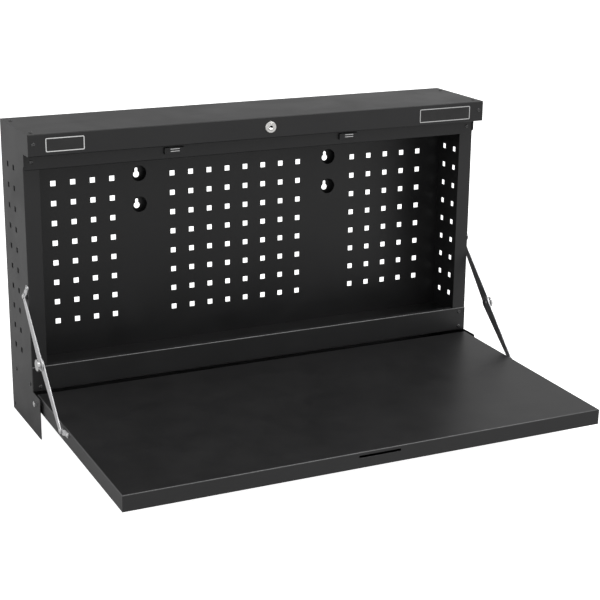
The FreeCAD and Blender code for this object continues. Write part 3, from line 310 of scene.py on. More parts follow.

# %% [markdown]
# ### Rounded and rubbed edges
#
# A cut sheet edge is never razor sharp: paint draws back from it and hands polish it. The Bevel
# node returns the normal that a rounded edge would have. Where that normal parts from the true one
# the surface is near an edge, which gives a mask for free, broken up by a little noise. The rounded
# folds of the sheet need another sign: their surface faces none of the six main directions, so the
# largest of its normal's three coordinates is well under one. On the black coats this mask carries
# wear and also a painted highlight along edges and folds.

# %% Group: soft edge
def build_soft_edge():
    make, given, result = shader_group(
        "soft_edge",
        [("Radius", VALUE, 0.0005), ("Rubbed", VALUE, 0.5), ("Folds", VALUE, 0.0)],
        [("Normal", VECTOR), ("Mask", VALUE)],
    )
    bevel = make.add("Bevel", Radius=given["Radius"])
    bevel.samples = 4
    true_normal = make.add("NewGeometry").outputs["Normal"]
    dot = make.add("VectorMath", "DOT_PRODUCT", _0=bevel.outputs[0], _1=true_normal)
    parted = make.add("MapRange", Value=dot.outputs["Value"], From_Min=0.99, From_Max=0.80)
    own = make.add("TexCoord").outputs
    breaks = make.add("TexNoise", Vector=own["Object"], Scale=55.0, Detail=3.0)
    kept = make.add("MapRange", Value=breaks.outputs[0], From_Min=0.35, From_Max=0.65)
    broken = make.add("Math", "MULTIPLY", _0=parted.outputs[0], _1=kept.outputs[0])
    sides = make.add("VectorMath", "ABSOLUTE", _0=own["Normal"])
    x, y, z = make.add("SeparateXYZ", Vector=sides.outputs[0]).outputs
    wider = make.add("Math", "MAXIMUM", _0=x, _1=y)
    largest = make.add("Math", "MAXIMUM", _0=wider.outputs[0], _1=z)
    fold = make.add("MapRange", Value=largest.outputs[0], From_Min=0.995, From_Max=0.94)
    thinned = make.add("MapRange", Value=kept.outputs[0], To_Min=0.75)
    folded = make.add("Math", "MULTIPLY", _0=fold.outputs[0], _1=thinned.outputs[0])
    wanted = make.add("Math", "MULTIPLY", _0=folded.outputs[0], _1=given["Folds"])
    either = make.add("Math", "MAXIMUM", _0=broken.outputs[0], _1=wanted.outputs[0])
    rubbed = make.add("Math", "MULTIPLY", _0=either.outputs[0], _1=given["Rubbed"])
    make.give(result, Normal=bevel.outputs[0], Mask=rubbed.outputs[0])
    return make.tree


soft_edge = build_soft_edge()
print("group:", soft_edge.name)

# %% [markdown]
# ### Settled dust
#
# Dust lies only on what faces up, and in patches. The Z of the normal picks the upward faces and a
# noise thins the layer.

# %% Group: settled dust
def build_settled_dust():
    make, given, result = shader_group(
        "settled_dust", [("Amount", VALUE, 0.1), ("Patch Size", VALUE, 0.1)], [("Mask", VALUE)]
    )
    own = make.add("TexCoord").outputs
    upward = make.add("SeparateXYZ", Vector=own["Normal"]).outputs["Z"]
    level = make.add("MapRange", Value=upward, From_Min=0.7, From_Max=1.0)
    place = own["Object"]
    scale = make.add("Math", "DIVIDE", _0=1.0, _1=given["Patch Size"]).outputs[0]
    patches = make.add("TexNoise", Vector=place, Scale=scale, Detail=6.0, Roughness=0.7)
    thick = make.add("MapRange", Value=patches.outputs[0], From_Min=0.35, From_Max=0.75)
    layer = make.add("Math", "MULTIPLY", _0=level.outputs[0], _1=thick.outputs[0])
    amount = make.add("Math", "MULTIPLY", _0=layer.outputs[0], _1=given["Amount"])
    make.give(result, Mask=amount.outputs[0])
    return make.tree


settled_dust = build_settled_dust()
print("group:", settled_dust.name)

# %% [markdown]
# ### Plating bloom
#
# Zinc and nickel plate grow as fine crystals. Up close the surface is faintly mottled, and wider
# clouds are duller where the bath ran unevenly. One voronoi gives the crystals, one noise the
# clouds.

# %% Group: plating bloom
def build_plating_bloom():
    make, given, result = shader_group(
        "plating_bloom",
        [("Crystal Size", VALUE, 0.0008), ("Cloud Size", VALUE, 0.012)],
        [("Height", VALUE), ("Cloud", VALUE)],
    )
    place = make.add("TexCoord").outputs["Object"]
    small = make.add("Math", "DIVIDE", _0=1.0, _1=given["Crystal Size"]).outputs[0]
    wide = make.add("Math", "DIVIDE", _0=1.0, _1=given["Cloud Size"]).outputs[0]
    crystals = make.add("TexVoronoi", Vector=place, Scale=small)
    cloud = make.add("TexNoise", Vector=place, Scale=wide, Detail=4.0, Roughness=0.6)
    spread = make.add("MapRange", Value=cloud.outputs[0], From_Min=0.3, From_Max=0.7)
    make.give(result, Height=crystals.outputs["Distance"], Cloud=spread.outputs[0])
    return make.tree


plating_bloom = build_plating_bloom()
print("group:", plating_bloom.name)

# %% [markdown]
# ### Turned rings
#
# A face cut on a lathe carries rings round its axis. Distance from the axis, with the axis's own
# direction left out, is fed to a one-dimensional noise, so every ring is level all the way round.

# %% Group: turned rings
def build_turned_rings():
    make, given, result = shader_group(
        "turned_rings",
        [("Centre", VECTOR, (0, 0, 0)), ("Across", VECTOR, (1, 0, 1)), ("Pitch", VALUE, 0.0004)],
        [("Height", VALUE)],
    )
    place = make.add("TexCoord").outputs["Object"]
    offset = make.add("VectorMath", "SUBTRACT", _0=place, _1=given["Centre"]).outputs[0]
    flat = make.add("VectorMath", "MULTIPLY", _0=offset, _1=given["Across"]).outputs[0]
    radius = make.add("VectorMath", "LENGTH", _0=flat).outputs["Value"]
    turns = make.add("Math", "DIVIDE", _0=radius, _1=given["Pitch"]).outputs[0]
    rings = make.add("TexNoise", Detail=2.0, Scale=1.0)
    rings.noise_dimensions = "1D"
    make.fill(rings, W=turns)
    make.give(result, Height=rings.outputs[0])
    return make.tree


turned_rings = build_turned_rings()
print("group:", turned_rings.name)

# %% [markdown]
# ## Finishes
#
# Each finish is one Principled shader. Numbers that are the same all over stand on the shader's
# own sockets. What changes over the surface comes from the groups: they mix the base colour, shift
# the roughness and shape a shallow bump on top of the softened edges.

# %% A helper that starts a finish
def start_finish(name, metallic=0.0, specular=0.5):
    """A material, its node maker and its shader."""
    material = bpy.data.materials.new(name)
    material.use_nodes = True
    surface = material.node_tree.nodes["Principled BSDF"]
    surface.inputs["Metallic"].default_value = metallic
    surface.inputs["Specular IOR Level"].default_value = specular
    return material, Nodes(material.node_tree), surface


def place_group(make, group, **values):
    """A shader group placed in a finish, with its own values on the sockets."""
    node = make.add("Group")
    node.node_tree = group
    return make.fill(node, **values).outputs


def blend_colours(make, mask, low, high):
    """Colour that runs from low to high as the mask runs from 0 to 1."""
    mix = make.tree.nodes.new("ShaderNodeMix")
    mix.data_type = "RGBA"
    make.tree.links.new(mask, mix.inputs["Factor"])
    for label, value in (("A", low), ("B", high)):
        socket = next(s for s in mix.inputs if s.name == label and s.type == "RGBA")
        if isinstance(value, bpy.types.NodeSocket):
            make.tree.links.new(value, socket)
        else:
            socket.default_value = (*value, 1)
    return next(s for s in mix.outputs if s.type == "RGBA")


def spread_value(make, mask, low, high):
    """Number that runs from low to high as the mask runs from 0 to 1."""
    return make.add("MapRange", Value=mask, To_Min=low, To_Max=high).outputs[0]


def relief(make, strength, distance, **sockets):
    """Normal shaped by a height, on top of another normal where one is given."""
    return make.add("Bump", Strength=strength, Distance=distance, **sockets).outputs[0]


# %% [markdown]
# ### Black powder coat and black screws
#
# The coat is a near-black plastic film, satin rather than glossy. Rubbed edges and dust both lift
# it towards grey, by very little; on the edges the grey is partly wear and partly a painted
# highlight. The screws wear black zinc, which is smoother and a shade lighter, and shows its
# crystals instead of orange peel. The driver has rubbed it off to bare steel round their sockets.
# Along the folds of the worktop and the bottom rail the coat is painted grey and metallic: partly
# wear, and partly a painted highlight that brightens the line of light on each fold.

# %% Finish: black coats
WORN_AND_HIGHLIGHT_GREY = (0.16, 0.16, 0.162)
DUST_GREY = (0.25, 0.24, 0.23)
BARE_STEEL = (0.62, 0.62, 0.62)
COAT_EDGE = 0.0006                     # metres over which a coated edge is soft


def black_coat(name, base, gloss, rubbed, dust, folds=0.0, bared_and_sheen=0.0):
    """Powder coat. Gloss holds the lowest and the highest roughness.

    Rubbed is how strongly edges go grey, folds whether rounded folds do too, bared_and_sheen how
    metallic they get, and dust how much of it lies on top. The grey and the metal on edges and
    folds are partly wear and partly a painted highlight.
    """
    material, make, surface = start_finish(name)
    skin = place_group(make, coat_texture, Grain_Size=0.0011, Cloud_Size=0.11)
    edge = place_group(make, soft_edge, Radius=COAT_EDGE, Rubbed=rubbed, Folds=folds)
    film = place_group(make, settled_dust, Amount=dust, Patch_Size=0.05)
    tint = blend_colours(make, skin["Cloud"], base, tuple(1.25 * c for c in base))
    # Painted highlight, partly wear: edges and folds go grey, and metallic where the finish asks for
    # it.
    worn_and_painted_light = blend_colours(make, edge["Mask"], tint, WORN_AND_HIGHLIGHT_GREY)
    make.fill(
        surface,
        Base_Color=blend_colours(make, film["Mask"], worn_and_painted_light, DUST_GREY),
        Roughness=spread_value(make, skin["Cloud"], *gloss),
        Metallic=spread_value(make, edge["Mask"], 0, bared_and_sheen),
        Normal=relief(make, 0.35, 0.00004, Height=skin["Height"], Normal=edge["Normal"]),
    )
    return material


def black_zinc():
    """Smooth dark plating, bare where the edges are rubbed."""
    material, make, surface = start_finish("black_zinc", specular=1.0)
    bloom = place_group(make, plating_bloom, Crystal_Size=0.0005, Cloud_Size=0.004)
    edge = place_group(make, soft_edge, Radius=0.0002, Rubbed=0.8)
    tint = blend_colours(make, bloom["Cloud"], (0.012, 0.012, 0.013), (0.022, 0.022, 0.023))
    make.fill(
        surface,
        Base_Color=blend_colours(make, edge["Mask"], tint, BARE_STEEL),
        Roughness=spread_value(make, bloom["Cloud"], 0.14, 0.21),
        Metallic=edge["Mask"],
        Normal=relief(make, 0.3, 0.00002, Height=bloom["Height"], Normal=edge["Normal"]),
    )
    return material


COAT_BLACK = (0.011, 0.011, 0.0115)
cabinet_coat = black_coat("cabinet_coat", COAT_BLACK, (0.36, 0.44), 0.45, 0.02)
# The worktop and the rail get the strongest painted highlight along their folds, partly as wear.
worktop_coat = black_coat("worktop_coat", COAT_BLACK, (0.37, 0.40), 0.8, 0.03, 1.0, 1.0)
rail_coat = black_coat("rail_coat", COAT_BLACK, (0.36, 0.42), 1.0, 0.02, 1.0, 1.0)
screw_black = black_zinc()
print("finishes:", cabinet_coat.name, worktop_coat.name, rail_coat.name, screw_black.name)

# %% [markdown]
# ### Zinc, nickel and bright steel
#
# The stays are zinc plated: bright but slightly clouded. Screws, rivets, knobs and catch strips are
# smoother. The lock is satin nickel with rings from the lathe. All are full metals, so the base
# colour is what they mirror, and the clouds move both colour and roughness. Handling burnishes
# their edges. Behind the face of its keyhole the lock's plug is painted near black, a painted shade
# chosen by depth alone.

# %% Finish: plated metals
BURNISHED = (0.93, 0.93, 0.93)
# Painted shade inside the keyhole: beyond this depth the plug's colour goes near black.
KEYHOLE_PAINTED_SHADE = (0.012, 0.012, 0.012)
KEYHOLE_SHADE_DEPTH = 0.0024                  # metres from the plug's face to the dark of the keyhole
KEYHOLE_SHADE_FADE = 0.0006                   # depth over which it darkens


def plated(name, dull, bright, gloss, crystal, burnish=0.0003, rings=None, shade_from_y=None):
    """Plated metal.

    Burnish is how far from an edge handling has polished it. Rings, if any, hold the centre of the
    turning and its flat directions. Where a depth is given, what lies farther back in Y than it is
    painted near black: a painted shade inside the keyhole.
    """
    material, make, surface = start_finish(name, metallic=1.0)
    bloom = place_group(make, plating_bloom, Crystal_Size=crystal, Cloud_Size=crystal * 14)
    edge = place_group(make, soft_edge, Radius=burnish, Rubbed=0.9)
    tint = blend_colours(make, bloom["Cloud"], dull, bright)
    worn_and_painted_light = blend_colours(make, edge["Mask"], tint, BURNISHED)
    # Painted shade: deep in the keyhole the colour goes near black.
    if shade_from_y is not None:
        place = make.add("TexCoord").outputs["Object"]
        depth = make.add("SeparateXYZ", Vector=place).outputs["Y"]
        behind = make.add("MapRange", Value=depth, From_Min=shade_from_y, From_Max=shade_from_y + KEYHOLE_SHADE_FADE)
        worn_and_painted_light = blend_colours(make, behind.outputs[0], worn_and_painted_light, KEYHOLE_PAINTED_SHADE)
    height = bloom["Height"]
    if rings is not None:
        centre, across = rings
        turned = place_group(make, turned_rings, Centre=centre, Across=across, Pitch=0.00035)
        height = make.add("Math", "ADD", _0=turned["Height"], _1=height).outputs[0]
    make.fill(
        surface,
        Base_Color=worn_and_painted_light,
        Roughness=spread_value(make, bloom["Cloud"], *gloss),
        Normal=relief(make, 0.3, 0.00002, Height=height, Normal=edge["Normal"]),
    )
    return material


lock_low, lock_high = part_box("lock_plug")
lock_middle = tuple((lock_low + lock_high) / 2)
zinc = plated("zinc_plate", (0.62, 0.62, 0.63), (0.82, 0.82, 0.83), (0.44, 0.32), 0.0012,
              burnish=0.0006)
bright_steel = plated("bright_plate", (0.66, 0.66, 0.66), (0.80, 0.80, 0.80), (0.26, 0.18), 0.0008)
NICKEL = ((0.74, 0.73, 0.71), (0.87, 0.86, 0.84), (0.34, 0.26), 0.0006)
lathe_rings = (lock_middle, (1, 0, 1))
satin_nickel = plated("satin_nickel", *NICKEL, rings=lathe_rings)
# The plug carries painted shade inside its keyhole.
plug_nickel_painted_shade = plated("plug_nickel_painted_shade", *NICKEL, rings=lathe_rings, shade_from_y=lock_low.y + KEYHOLE_SHADE_DEPTH)
print("lock axis through:", [round(c, 4) for c in lock_middle])

# %% [markdown]
# ### Catch plastic, magnet and header plates
#
# The catches are moulded plastic with a spark-eroded grain. Their magnet is dull sintered ferrite.
# The plates on the header are black with a pale raised rim and carry no lettering. The rim is found
# by depth: it stands nearer to the viewer than the field, so the Y coordinate tells them apart.

# %% Finish: plastic, ferrite and plates
def moulded_plastic():
    material, make, surface = start_finish("moulded_plastic")
    skin = place_group(make, coat_texture, Grain_Size=0.0005, Cloud_Size=0.01)
    edge = place_group(make, soft_edge, Radius=0.0004, Rubbed=0.3)
    tint = blend_colours(make, skin["Cloud"], (0.013, 0.013, 0.014), (0.019, 0.019, 0.02))
    make.fill(
        surface,
        Base_Color=blend_colours(make, edge["Mask"], tint, (0.06, 0.06, 0.06)),
        Roughness=spread_value(make, skin["Cloud"], 0.4, 0.5),
        Normal=relief(make, 0.5, 0.00003, Height=skin["Height"], Normal=edge["Normal"]),
    )
    return material


def sintered_ferrite():
    material, make, surface = start_finish("sintered_ferrite", specular=0.3)
    bloom = place_group(make, plating_bloom, Crystal_Size=0.0004, Cloud_Size=0.003)
    make.fill(
        surface,
        Base_Color=blend_colours(make, bloom["Cloud"], (0.035, 0.035, 0.038), (0.07, 0.07, 0.075)),
        Roughness=spread_value(make, bloom["Cloud"], 0.7, 0.55),
        Normal=relief(make, 0.6, 0.00003, Height=bloom["Height"]),
    )
    return material


def rimmed_plate(name, node, rim):
    """A blank plate: black field, pale rim. The rim's face is the node's front face."""
    material, make, surface = start_finish(name)
    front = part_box(node)[0].y
    place = make.add("TexCoord").outputs["Object"]
    depth = make.add("SeparateXYZ", Vector=place).outputs["Y"]
    raised = make.add("MapRange", Value=depth, From_Min=front + 0.0002, From_Max=front + 0.00005)
    skin = place_group(make, coat_texture, Grain_Size=0.0006, Cloud_Size=0.02)
    field = blend_colours(make, skin["Cloud"], (0.012, 0.012, 0.012), (0.018, 0.018, 0.018))
    make.fill(
        surface,
        Base_Color=blend_colours(make, raised.outputs[0], field, rim),
        Roughness=spread_value(make, skin["Cloud"], 0.3, 0.4),
        Normal=relief(make, 0.3, 0.00002, Height=skin["Height"]),
    )
    return material


catch_plastic = moulded_plastic()
ferrite = sintered_ferrite()
left_plate = rimmed_plate("left_plate", "left_nameplate", (0.80, 0.80, 0.80))
right_plate = rimmed_plate("right_plate", "right_nameplate", (0.55, 0.55, 0.55))
print("plates:", left_plate.name, right_plate.name)

# %% [markdown]
# ### Every piece of the construction gets its finish
#
# The record names a slot for each piece, and each slot has one finish. The worktop takes its own
# coat, a little more handled than the cabinet's and with a stronger painted highlight on its folds,
# and the two plates differ in their rims.

# %% Assign the finishes
SLOT_FINISH = {
    "black_powder_coat": cabinet_coat,
    "black_screws": screw_black,
    "zinc_steel": zinc,
    "bright_steel": bright_steel,
    "nickel_plate": satin_nickel,
    "black_plastic": catch_plastic,
    "magnet": ferrite,
    "plate": left_plate,
}
OWN_FINISH = {
    "worktop_top_skin": worktop_coat,
    "worktop_bottom_skin": worktop_coat,
    "bottom_rail": rail_coat,
    "right_nameplate": right_plate,
}
slot_of = {part["node"]: part["material_slot"] for part in frame["record"]["subparts"]}
for name, node in nodes.items():
    finish = OWN_FINISH.get(name, SLOT_FINISH[slot_of[name]])
    for slot in node.material_slots:
        slot.material = finish
print("finished:", len(nodes), "pieces of the construction")

# %% [markdown]
# ## Shapes worked out as grids
#
# The hardware is made of a few closed shells. A shell is a grid of points that goes round in its
# columns. Its first and last rows may shrink to a point, which closes it, or join each other, as in
# a ring. Whole arrays of points are computed at once, and faces follow from the grid's numbering.

# %% Grids and pieces
def grid_faces(rows, columns, wraps):
    """Faces of a grid that goes round in its columns.

    The face at row i and column j joins (i, j), (i, j + 1), (i + 1, j + 1) and (i + 1, j), where
    the column after the last is the first. If it wraps, the row after the last is the first too.
    """
    i, j = np.meshgrid(np.arange(rows if wraps else rows - 1), np.arange(columns), indexing="ij")
    later_row, later_column = (i + 1) % rows, (j + 1) % columns
    corners = (i * columns + j, i * columns + later_column,
               later_row * columns + later_column, later_row * columns + j)
    return np.stack(corners, axis=-1).reshape(-1, 4)


def make_piece(name, shells, finish, stands_for, sharp=35):
    """One object from closed shells, riding and finished as the nodes it stands for.

    A shell is (grid of points, whether its rows wrap). Edges sharper than the angle stay crisp.
    """
    points, faces, count = [], [], 0
    for grid, wraps in shells:
        rows, columns = grid.shape[:2]
        points.append(grid.reshape(-1, 3))
        faces.append(grid_faces(rows, columns, wraps) + count)
        count += rows * columns
    mesh = bpy.data.meshes.new(name)
    mesh.from_pydata(np.concatenate(points).tolist(), [], np.concatenate(faces).tolist())
    work = bmesh.new()
    work.from_mesh(mesh)
    bmesh.ops.remove_doubles(work, verts=work.verts, dist=1e-7)
    bmesh.ops.recalc_face_normals(work, faces=work.faces)
    work.to_mesh(mesh)
    work.free()
    mesh.shade_smooth()
    mesh.set_sharp_from_angle(angle=math.radians(sharp))
    mesh.materials.append(finish)
    piece = bpy.data.objects.new(name, mesh)
    bpy.context.scene.collection.objects.link(piece)
    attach(piece, body_of[stands_for])
    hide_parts(stands_for)
    return piece


# %% [markdown]
# ### Where the fasteners are
#
# A node such as a set of screws holds several separate solids. Points that lie within a fastener's
# length of one another belong together. The head is the widest end, so each fastener tells by
# itself which way it points and where its crown stands.

# %% Find fasteners in a node
FASTENER_REACH = 0.024                 # no fastener is longer or wider than this


def node_points(node):
    """All points of a node as one array."""
    mesh = nodes[node].data
    flat = np.empty(3 * len(mesh.vertices))
    mesh.vertices.foreach_get("co", flat)
    return flat.reshape(-1, 3)


def fasteners(node, axis):
    """Crown, outward direction and length of each separate fastener along one axis."""
    found = []
    left = node_points(node)
    while len(left):
        mine = np.abs(left - left[0]).max(axis=1) < FASTENER_REACH
        own, left = left[mine], left[~mine]
        low, high = own.min(axis=0), own.max(axis=0)
        middle = (low + high) / 2
        spread = np.delete(own - middle, axis, axis=1)
        width = np.linalg.norm(spread, axis=1)
        head = own[width > 0.97 * width.max(), axis].mean()
        outward = np.zeros(3)
        outward[axis] = 1 if head > middle[axis] else -1
        crown = middle.copy()
        crown[axis] = high[axis] if outward[axis] > 0 else low[axis]
        found.append((crown, outward, high[axis] - low[axis]))
    return found


def stand(local, crown, outward):
    """Move a shell from its own axes to its place.

    The third local direction points outward. The second points up, or back where the axis is
    upright, and the first is square to both.
    """
    up = np.array((0.0, 1.0, 0.0)) if abs(outward[2]) > 0.5 else np.array((0.0, 0.0, 1.0))
    aside = np.cross(up, outward)
    return crown + local[..., 0:1] * aside + local[..., 1:2] * up + local[..., 2:3] * outward


for name, axis in (("top_panel_screws", 2), ("side_screws", 0), ("hinge_bolts", 0)):
    print(name, len(fasteners(name, axis)), "found")

# %% [markdown]
# ### Turned shapes and drive sockets
#
# A screw, rivet or knob is a profile carried round its axis. Its crown is a superellipse, which
# covers everything from a true dome to a flat pan with one number. The hexagonal socket is not cut
# but pressed: the crown's points move down wherever they lie inside the hexagon.

# %% Profiles and sockets
def turned(profile, columns):
    """Each (radius, height) of a profile is carried round the axis in equal steps."""
    angle = np.arange(columns) * 2 * np.pi / columns
    radius, height = profile[:, 0, None], profile[:, 1, None]
    x, y = radius * np.cos(angle), radius * np.sin(angle)
    return np.stack([x, y, np.broadcast_to(height, x.shape)], axis=-1)


def crown_profile(radius, height, fullness, rows):
    """Superellipse from the crown's middle to its rim.

    The drop at a share s of the radius is height * (1 - (1 - s ** n) ** (1 / n)).
    """
    share = np.sin(np.linspace(0, np.pi / 2, rows))
    drop = height * (1 - (1 - share ** fullness).clip(0) ** (1 / fullness))
    return np.stack([radius * share, -drop], axis=-1)


def soft_step(value, width):
    """0 below -width, 1 above +width, and a smooth S between."""
    share = np.clip((value + width) / (2 * width), 0, 1)
    return share * share * (3 - 2 * share)


def press_hexagon(grid, rows, across, depth):
    """Lower the points of the first rows that lie within a hexagon.

    A point's distance from the middle, as a hexagon measures it, is the largest of its lengths
    along three directions 60 degrees apart.
    """
    face = grid[:rows]
    turns = np.radians([0, 60, 120])
    reach = np.abs(face[..., 0:1] * np.cos(turns) + face[..., 1:2] * np.sin(turns)).max(axis=-1)
    face[..., 2] -= depth * soft_step(across / 2 - reach, 0.00008)


def headed_shell(length, head, shank, socket, fullness=2.2, rows=26, columns=72):
    """A closed screw or rivet: crown, rim, underside of the head, shank and a chamfered tip."""
    radius, height = head
    tip = shank * 0.75
    tail = np.array([
        (radius, -height), (shank, -height), (shank, -height - 0.0002),
        (shank, -length + 0.0005), (tip, -length), (0, -length),
    ])
    grid = turned(np.concatenate([crown_profile(radius, height * 0.75, fullness, rows), tail]),
                  columns)
    if socket is not None:
        press_hexagon(grid, rows - 4, *socket)
    return grid


print("screw shell:", headed_shell(0.0098, (0.0036, 0.0018), 0.002, None).shape)

# %% [markdown]
# ### Screws
#
# Black button screws hold the sheets together, and the brackets of the stays have bright ones of
# the same size. One function makes every set: it looks up where the set's solids are and stands a
# fresh shell at each.

# %% Make the screws
SCREW_HEAD = (0.0036, 0.0018)          # radius and height
SCREW_SHANK = 0.002
SCREW_SOCKET = (0.0025, 0.0011)        # across flats and depth


def screw_set(node, axis, finish):
    """One piece that stands for a set of screws."""
    shells = []
    for crown, outward, length in fasteners(node, axis):
        shell = headed_shell(length, SCREW_HEAD, SCREW_SHANK, SCREW_SOCKET)
        shells.append((stand(shell, crown, outward), False))
    piece = make_piece(node + "_turned", shells, finish, node)
    print(piece.name, len(shells), "screws,", len(piece.data.polygons), "faces")
    return piece


for name, axis in (("top_panel_screws", 2), ("header_screws", 1), ("top_rail_screws", 1),
                   ("bottom_rail_screws", 1), ("side_screws", 0)):
    screw_set(name, axis, screw_black)
for name in ("upper_bracket_screws", "lower_bracket_screws"):
    screw_set(name, 0, bright_steel)

# %% [markdown]
# ### Hinge bolts
#
# The worktop turns on two plain hexagon bolts. A forged hexagon head is a prism whose upper corners
# are turned off at 30 degrees, which leaves a round bearing land on top and a curved line on each
# flat. All three come from one rule: the height falls off outside the land, and the radius stops at
# the hexagon.

# %% Make the hinge bolts
BOLT_FLATS = 0.005                     # half the distance across the flats
BOLT_HEAD_HEIGHT = 0.0055
BOLT_SHANK = 0.003
BOLT_LAND = 0.94                       # the land's radius as a share of half the flats


def hexagon_head_shell(length, columns=120):
    """Land, turned corners, six flats, underside and shank.

    At angle a the hexagon's radius is flats / cos(a, wrapped to 30 degrees either side of a flat's
    middle). The height falls by tan(30 degrees) times the radius beyond the land.
    """
    angle = np.arange(columns) * 2 * np.pi / columns
    wrapped = (angle + np.pi / 6) % (np.pi / 3) - np.pi / 6
    reach = BOLT_FLATS / np.cos(wrapped)
    land = BOLT_LAND * BOLT_FLATS
    share = np.linspace(0, 1, 7)[:, None]
    radius = np.concatenate([[0 * reach], [0.5 * land + 0 * reach], land + share * (reach - land)])
    height = -math.tan(math.radians(30)) * (radius - land).clip(0)
    low = np.array([-BOLT_HEAD_HEIGHT, -BOLT_HEAD_HEIGHT, -length + 0.0004, -length, -length])
    wide = np.array([0, BOLT_SHANK, BOLT_SHANK, 0.85 * BOLT_SHANK, 0])[:, None] + 0 * reach
    wide[0] = reach
    radius = np.concatenate([radius, wide])
    height = np.concatenate([height, low[:, None] + 0 * reach])
    return np.stack([radius * np.cos(angle), radius * np.sin(angle), height], axis=-1)


shells = [(stand(hexagon_head_shell(length), crown, outward), False)
          for crown, outward, length in fasteners("hinge_bolts", 0)]
bolts = make_piece("hinge_bolts_forged", shells, bright_steel, "hinge_bolts", sharp=25)
print(bolts.name, len(bolts.data.polygons), "faces")

# %% [markdown]
# ### Rivets
#
# The stays turn on rivets: a low dome outside, a small pressed collar inside, and a plain shank
# between.

# %% Make the rivets
RIVET_HEAD = (0.0045, 0.0018)
RIVET_SHANK = 0.0025
RIVET_COLLAR = 0.0006                  # height of the pressed collar


def rivet_shell(length, collar):
    """A dome, a shank and, at its far end, a collar of the given height or none."""
    radius, height = RIVET_HEAD
    below = [(radius, -height), (RIVET_SHANK, -height)]
    if collar:
        below += [(RIVET_SHANK, collar - length), (radius * 0.9, collar - length),
                  (radius, collar * 0.6 - length), (radius * 0.9, -length)]
    else:
        below += [(RIVET_SHANK, -length)]
    below += [(0, -length)]
    crown = crown_profile(radius, height * 0.85, 2.0, 18)
    return turned(np.concatenate([crown, np.array(below)]), 64)


def rivet_set(node, collar):
    shells = [(stand(rivet_shell(length, collar), crown, outward), False)
              for crown, outward, length in fasteners(node, 0)]
    return make_piece(node + "_turned", shells, bright_steel, node)


rivet_set("upper_pivot_rivets", RIVET_COLLAR)
for side in ("left", "right"):
    rivet_set(side + "_lower_pivot_rivet", 0)
print("rivets: 4")

# %% [markdown]
# ### Elbow studs with their knobs
#
# A knob on the elbow of each stay gives the thumb something to push when the stay is unlocked. It
# is a turned disc with a dished face and a rounded rim, on a neck that carries both arms.

# %% Make the elbow studs
KNOB_RADIUS = 0.0105
KNOB_THICKNESS = 0.004
KNOB_ROUND = 0.001
NECK_RADIUS = 0.0035


def stud_shell(length):
    """Dished face, quarter-round rims, neck and the riveted collar at the inner end.

    The face sinks by (1 - (r / R) ** 2) of the dish's depth, so it is deepest in the middle.
    """
    flat = KNOB_RADIUS - KNOB_ROUND
    radii = np.linspace(0, flat, 14)
    dish = -0.0007 * (1 - (radii / flat) ** 2)
    quarter = np.linspace(0, np.pi / 2, 6)[1:]
    top = np.stack([flat + KNOB_ROUND * np.sin(quarter), KNOB_ROUND * (np.cos(quarter) - 1)], -1)
    bottom = np.stack([top[::-1, 0], -KNOB_THICKNESS - top[::-1, 1]], -1)
    collar = RIVET_HEAD[0]
    neck = np.array([
        (NECK_RADIUS, -KNOB_THICKNESS), (NECK_RADIUS, RIVET_COLLAR - length),
        (collar * 0.9, RIVET_COLLAR - length), (collar, 0.6 * RIVET_COLLAR - length),
        (collar * 0.9, -length), (0, -length),
    ])
    return turned(np.concatenate([np.stack([radii, dish], -1), top, bottom, neck]), 96)


for side in ("left", "right"):
    node = side + "_elbow_stud"
    (crown, outward, length), = fasteners(node, 0)
    stud = make_piece(node + "_turned", [(stand(stud_shell(length), crown, outward), False)],
                      bright_steel, node)
    print(stud.name, "length", round(1000 * length, 1), "mm")

# %% [markdown]
# ### Stay arms
#
# Each arm is a strip that widens towards the elbow, with round ends and edges softened by the
# press. Its outline is the tight band round two circles. For any direction, the farther of the two
# circles in that direction gives the outline's point, which needs no search for tangents. Inner
# rows of the same band, made by shrinking both circles, carry the rounded edge over to the face.

# %% Make the arms
ARM_END_RADIUS = 0.006
ARM_ELBOW_RADIUS = 0.0115
ARM_EDGE = 0.0009                      # radius of the softened edge
ARM_COLUMNS = 96


def band(ends, inset, columns):
    """Outline round two circles, shrunk by an inset.

    In direction d, the point is that circle's centre plus its radius along d whose reach, the
    centre's length along d plus the radius, is greater.
    """
    angle = (np.arange(columns) + 0.5) * 2 * np.pi / columns
    direction = np.stack([np.cos(angle), np.sin(angle)], axis=-1)
    (first, first_radius), (second, second_radius) = ends
    nearer = direction @ first + first_radius > direction @ second + second_radius
    centre = np.where(nearer[:, None], first, second)
    radius = np.where(nearer, first_radius, second_radius)[:, None]
    return centre + (radius - inset) * direction


def arm_shell(ends, low_x, high_x):
    """Face, rounded edge, side, rounded edge and face of one arm, closed in the middle."""
    quarter = np.linspace(0, np.pi / 2, 5)
    inset = np.concatenate([[4 * ARM_EDGE], ARM_EDGE * (1 - np.sin(quarter))])
    depth = np.concatenate([[0], ARM_EDGE * (1 - np.cos(quarter))])
    rows = [np.insert(band(ends, i, ARM_COLUMNS), 0, low_x + d, axis=1)
            for i, d in zip(inset, depth)]
    rows += [np.insert(band(ends, i, ARM_COLUMNS), 0, high_x - d, axis=1)
             for i, d in zip(inset[::-1], depth[::-1])]
    middle = np.mean([end for end, radius in ends], axis=0)
    closing = [np.broadcast_to((x, *middle), (ARM_COLUMNS, 3)) for x in (low_x, high_x)]
    return np.stack([closing[0], *rows, closing[1]])


def pivot(node, side):
    """Where a stay's pin stands, as (y, z). A set is searched for the pin on one side."""
    for crown, outward, length in fasteners(node, 0):
        if (crown[0] < 0) == (side == "left"):
            return crown[1:]


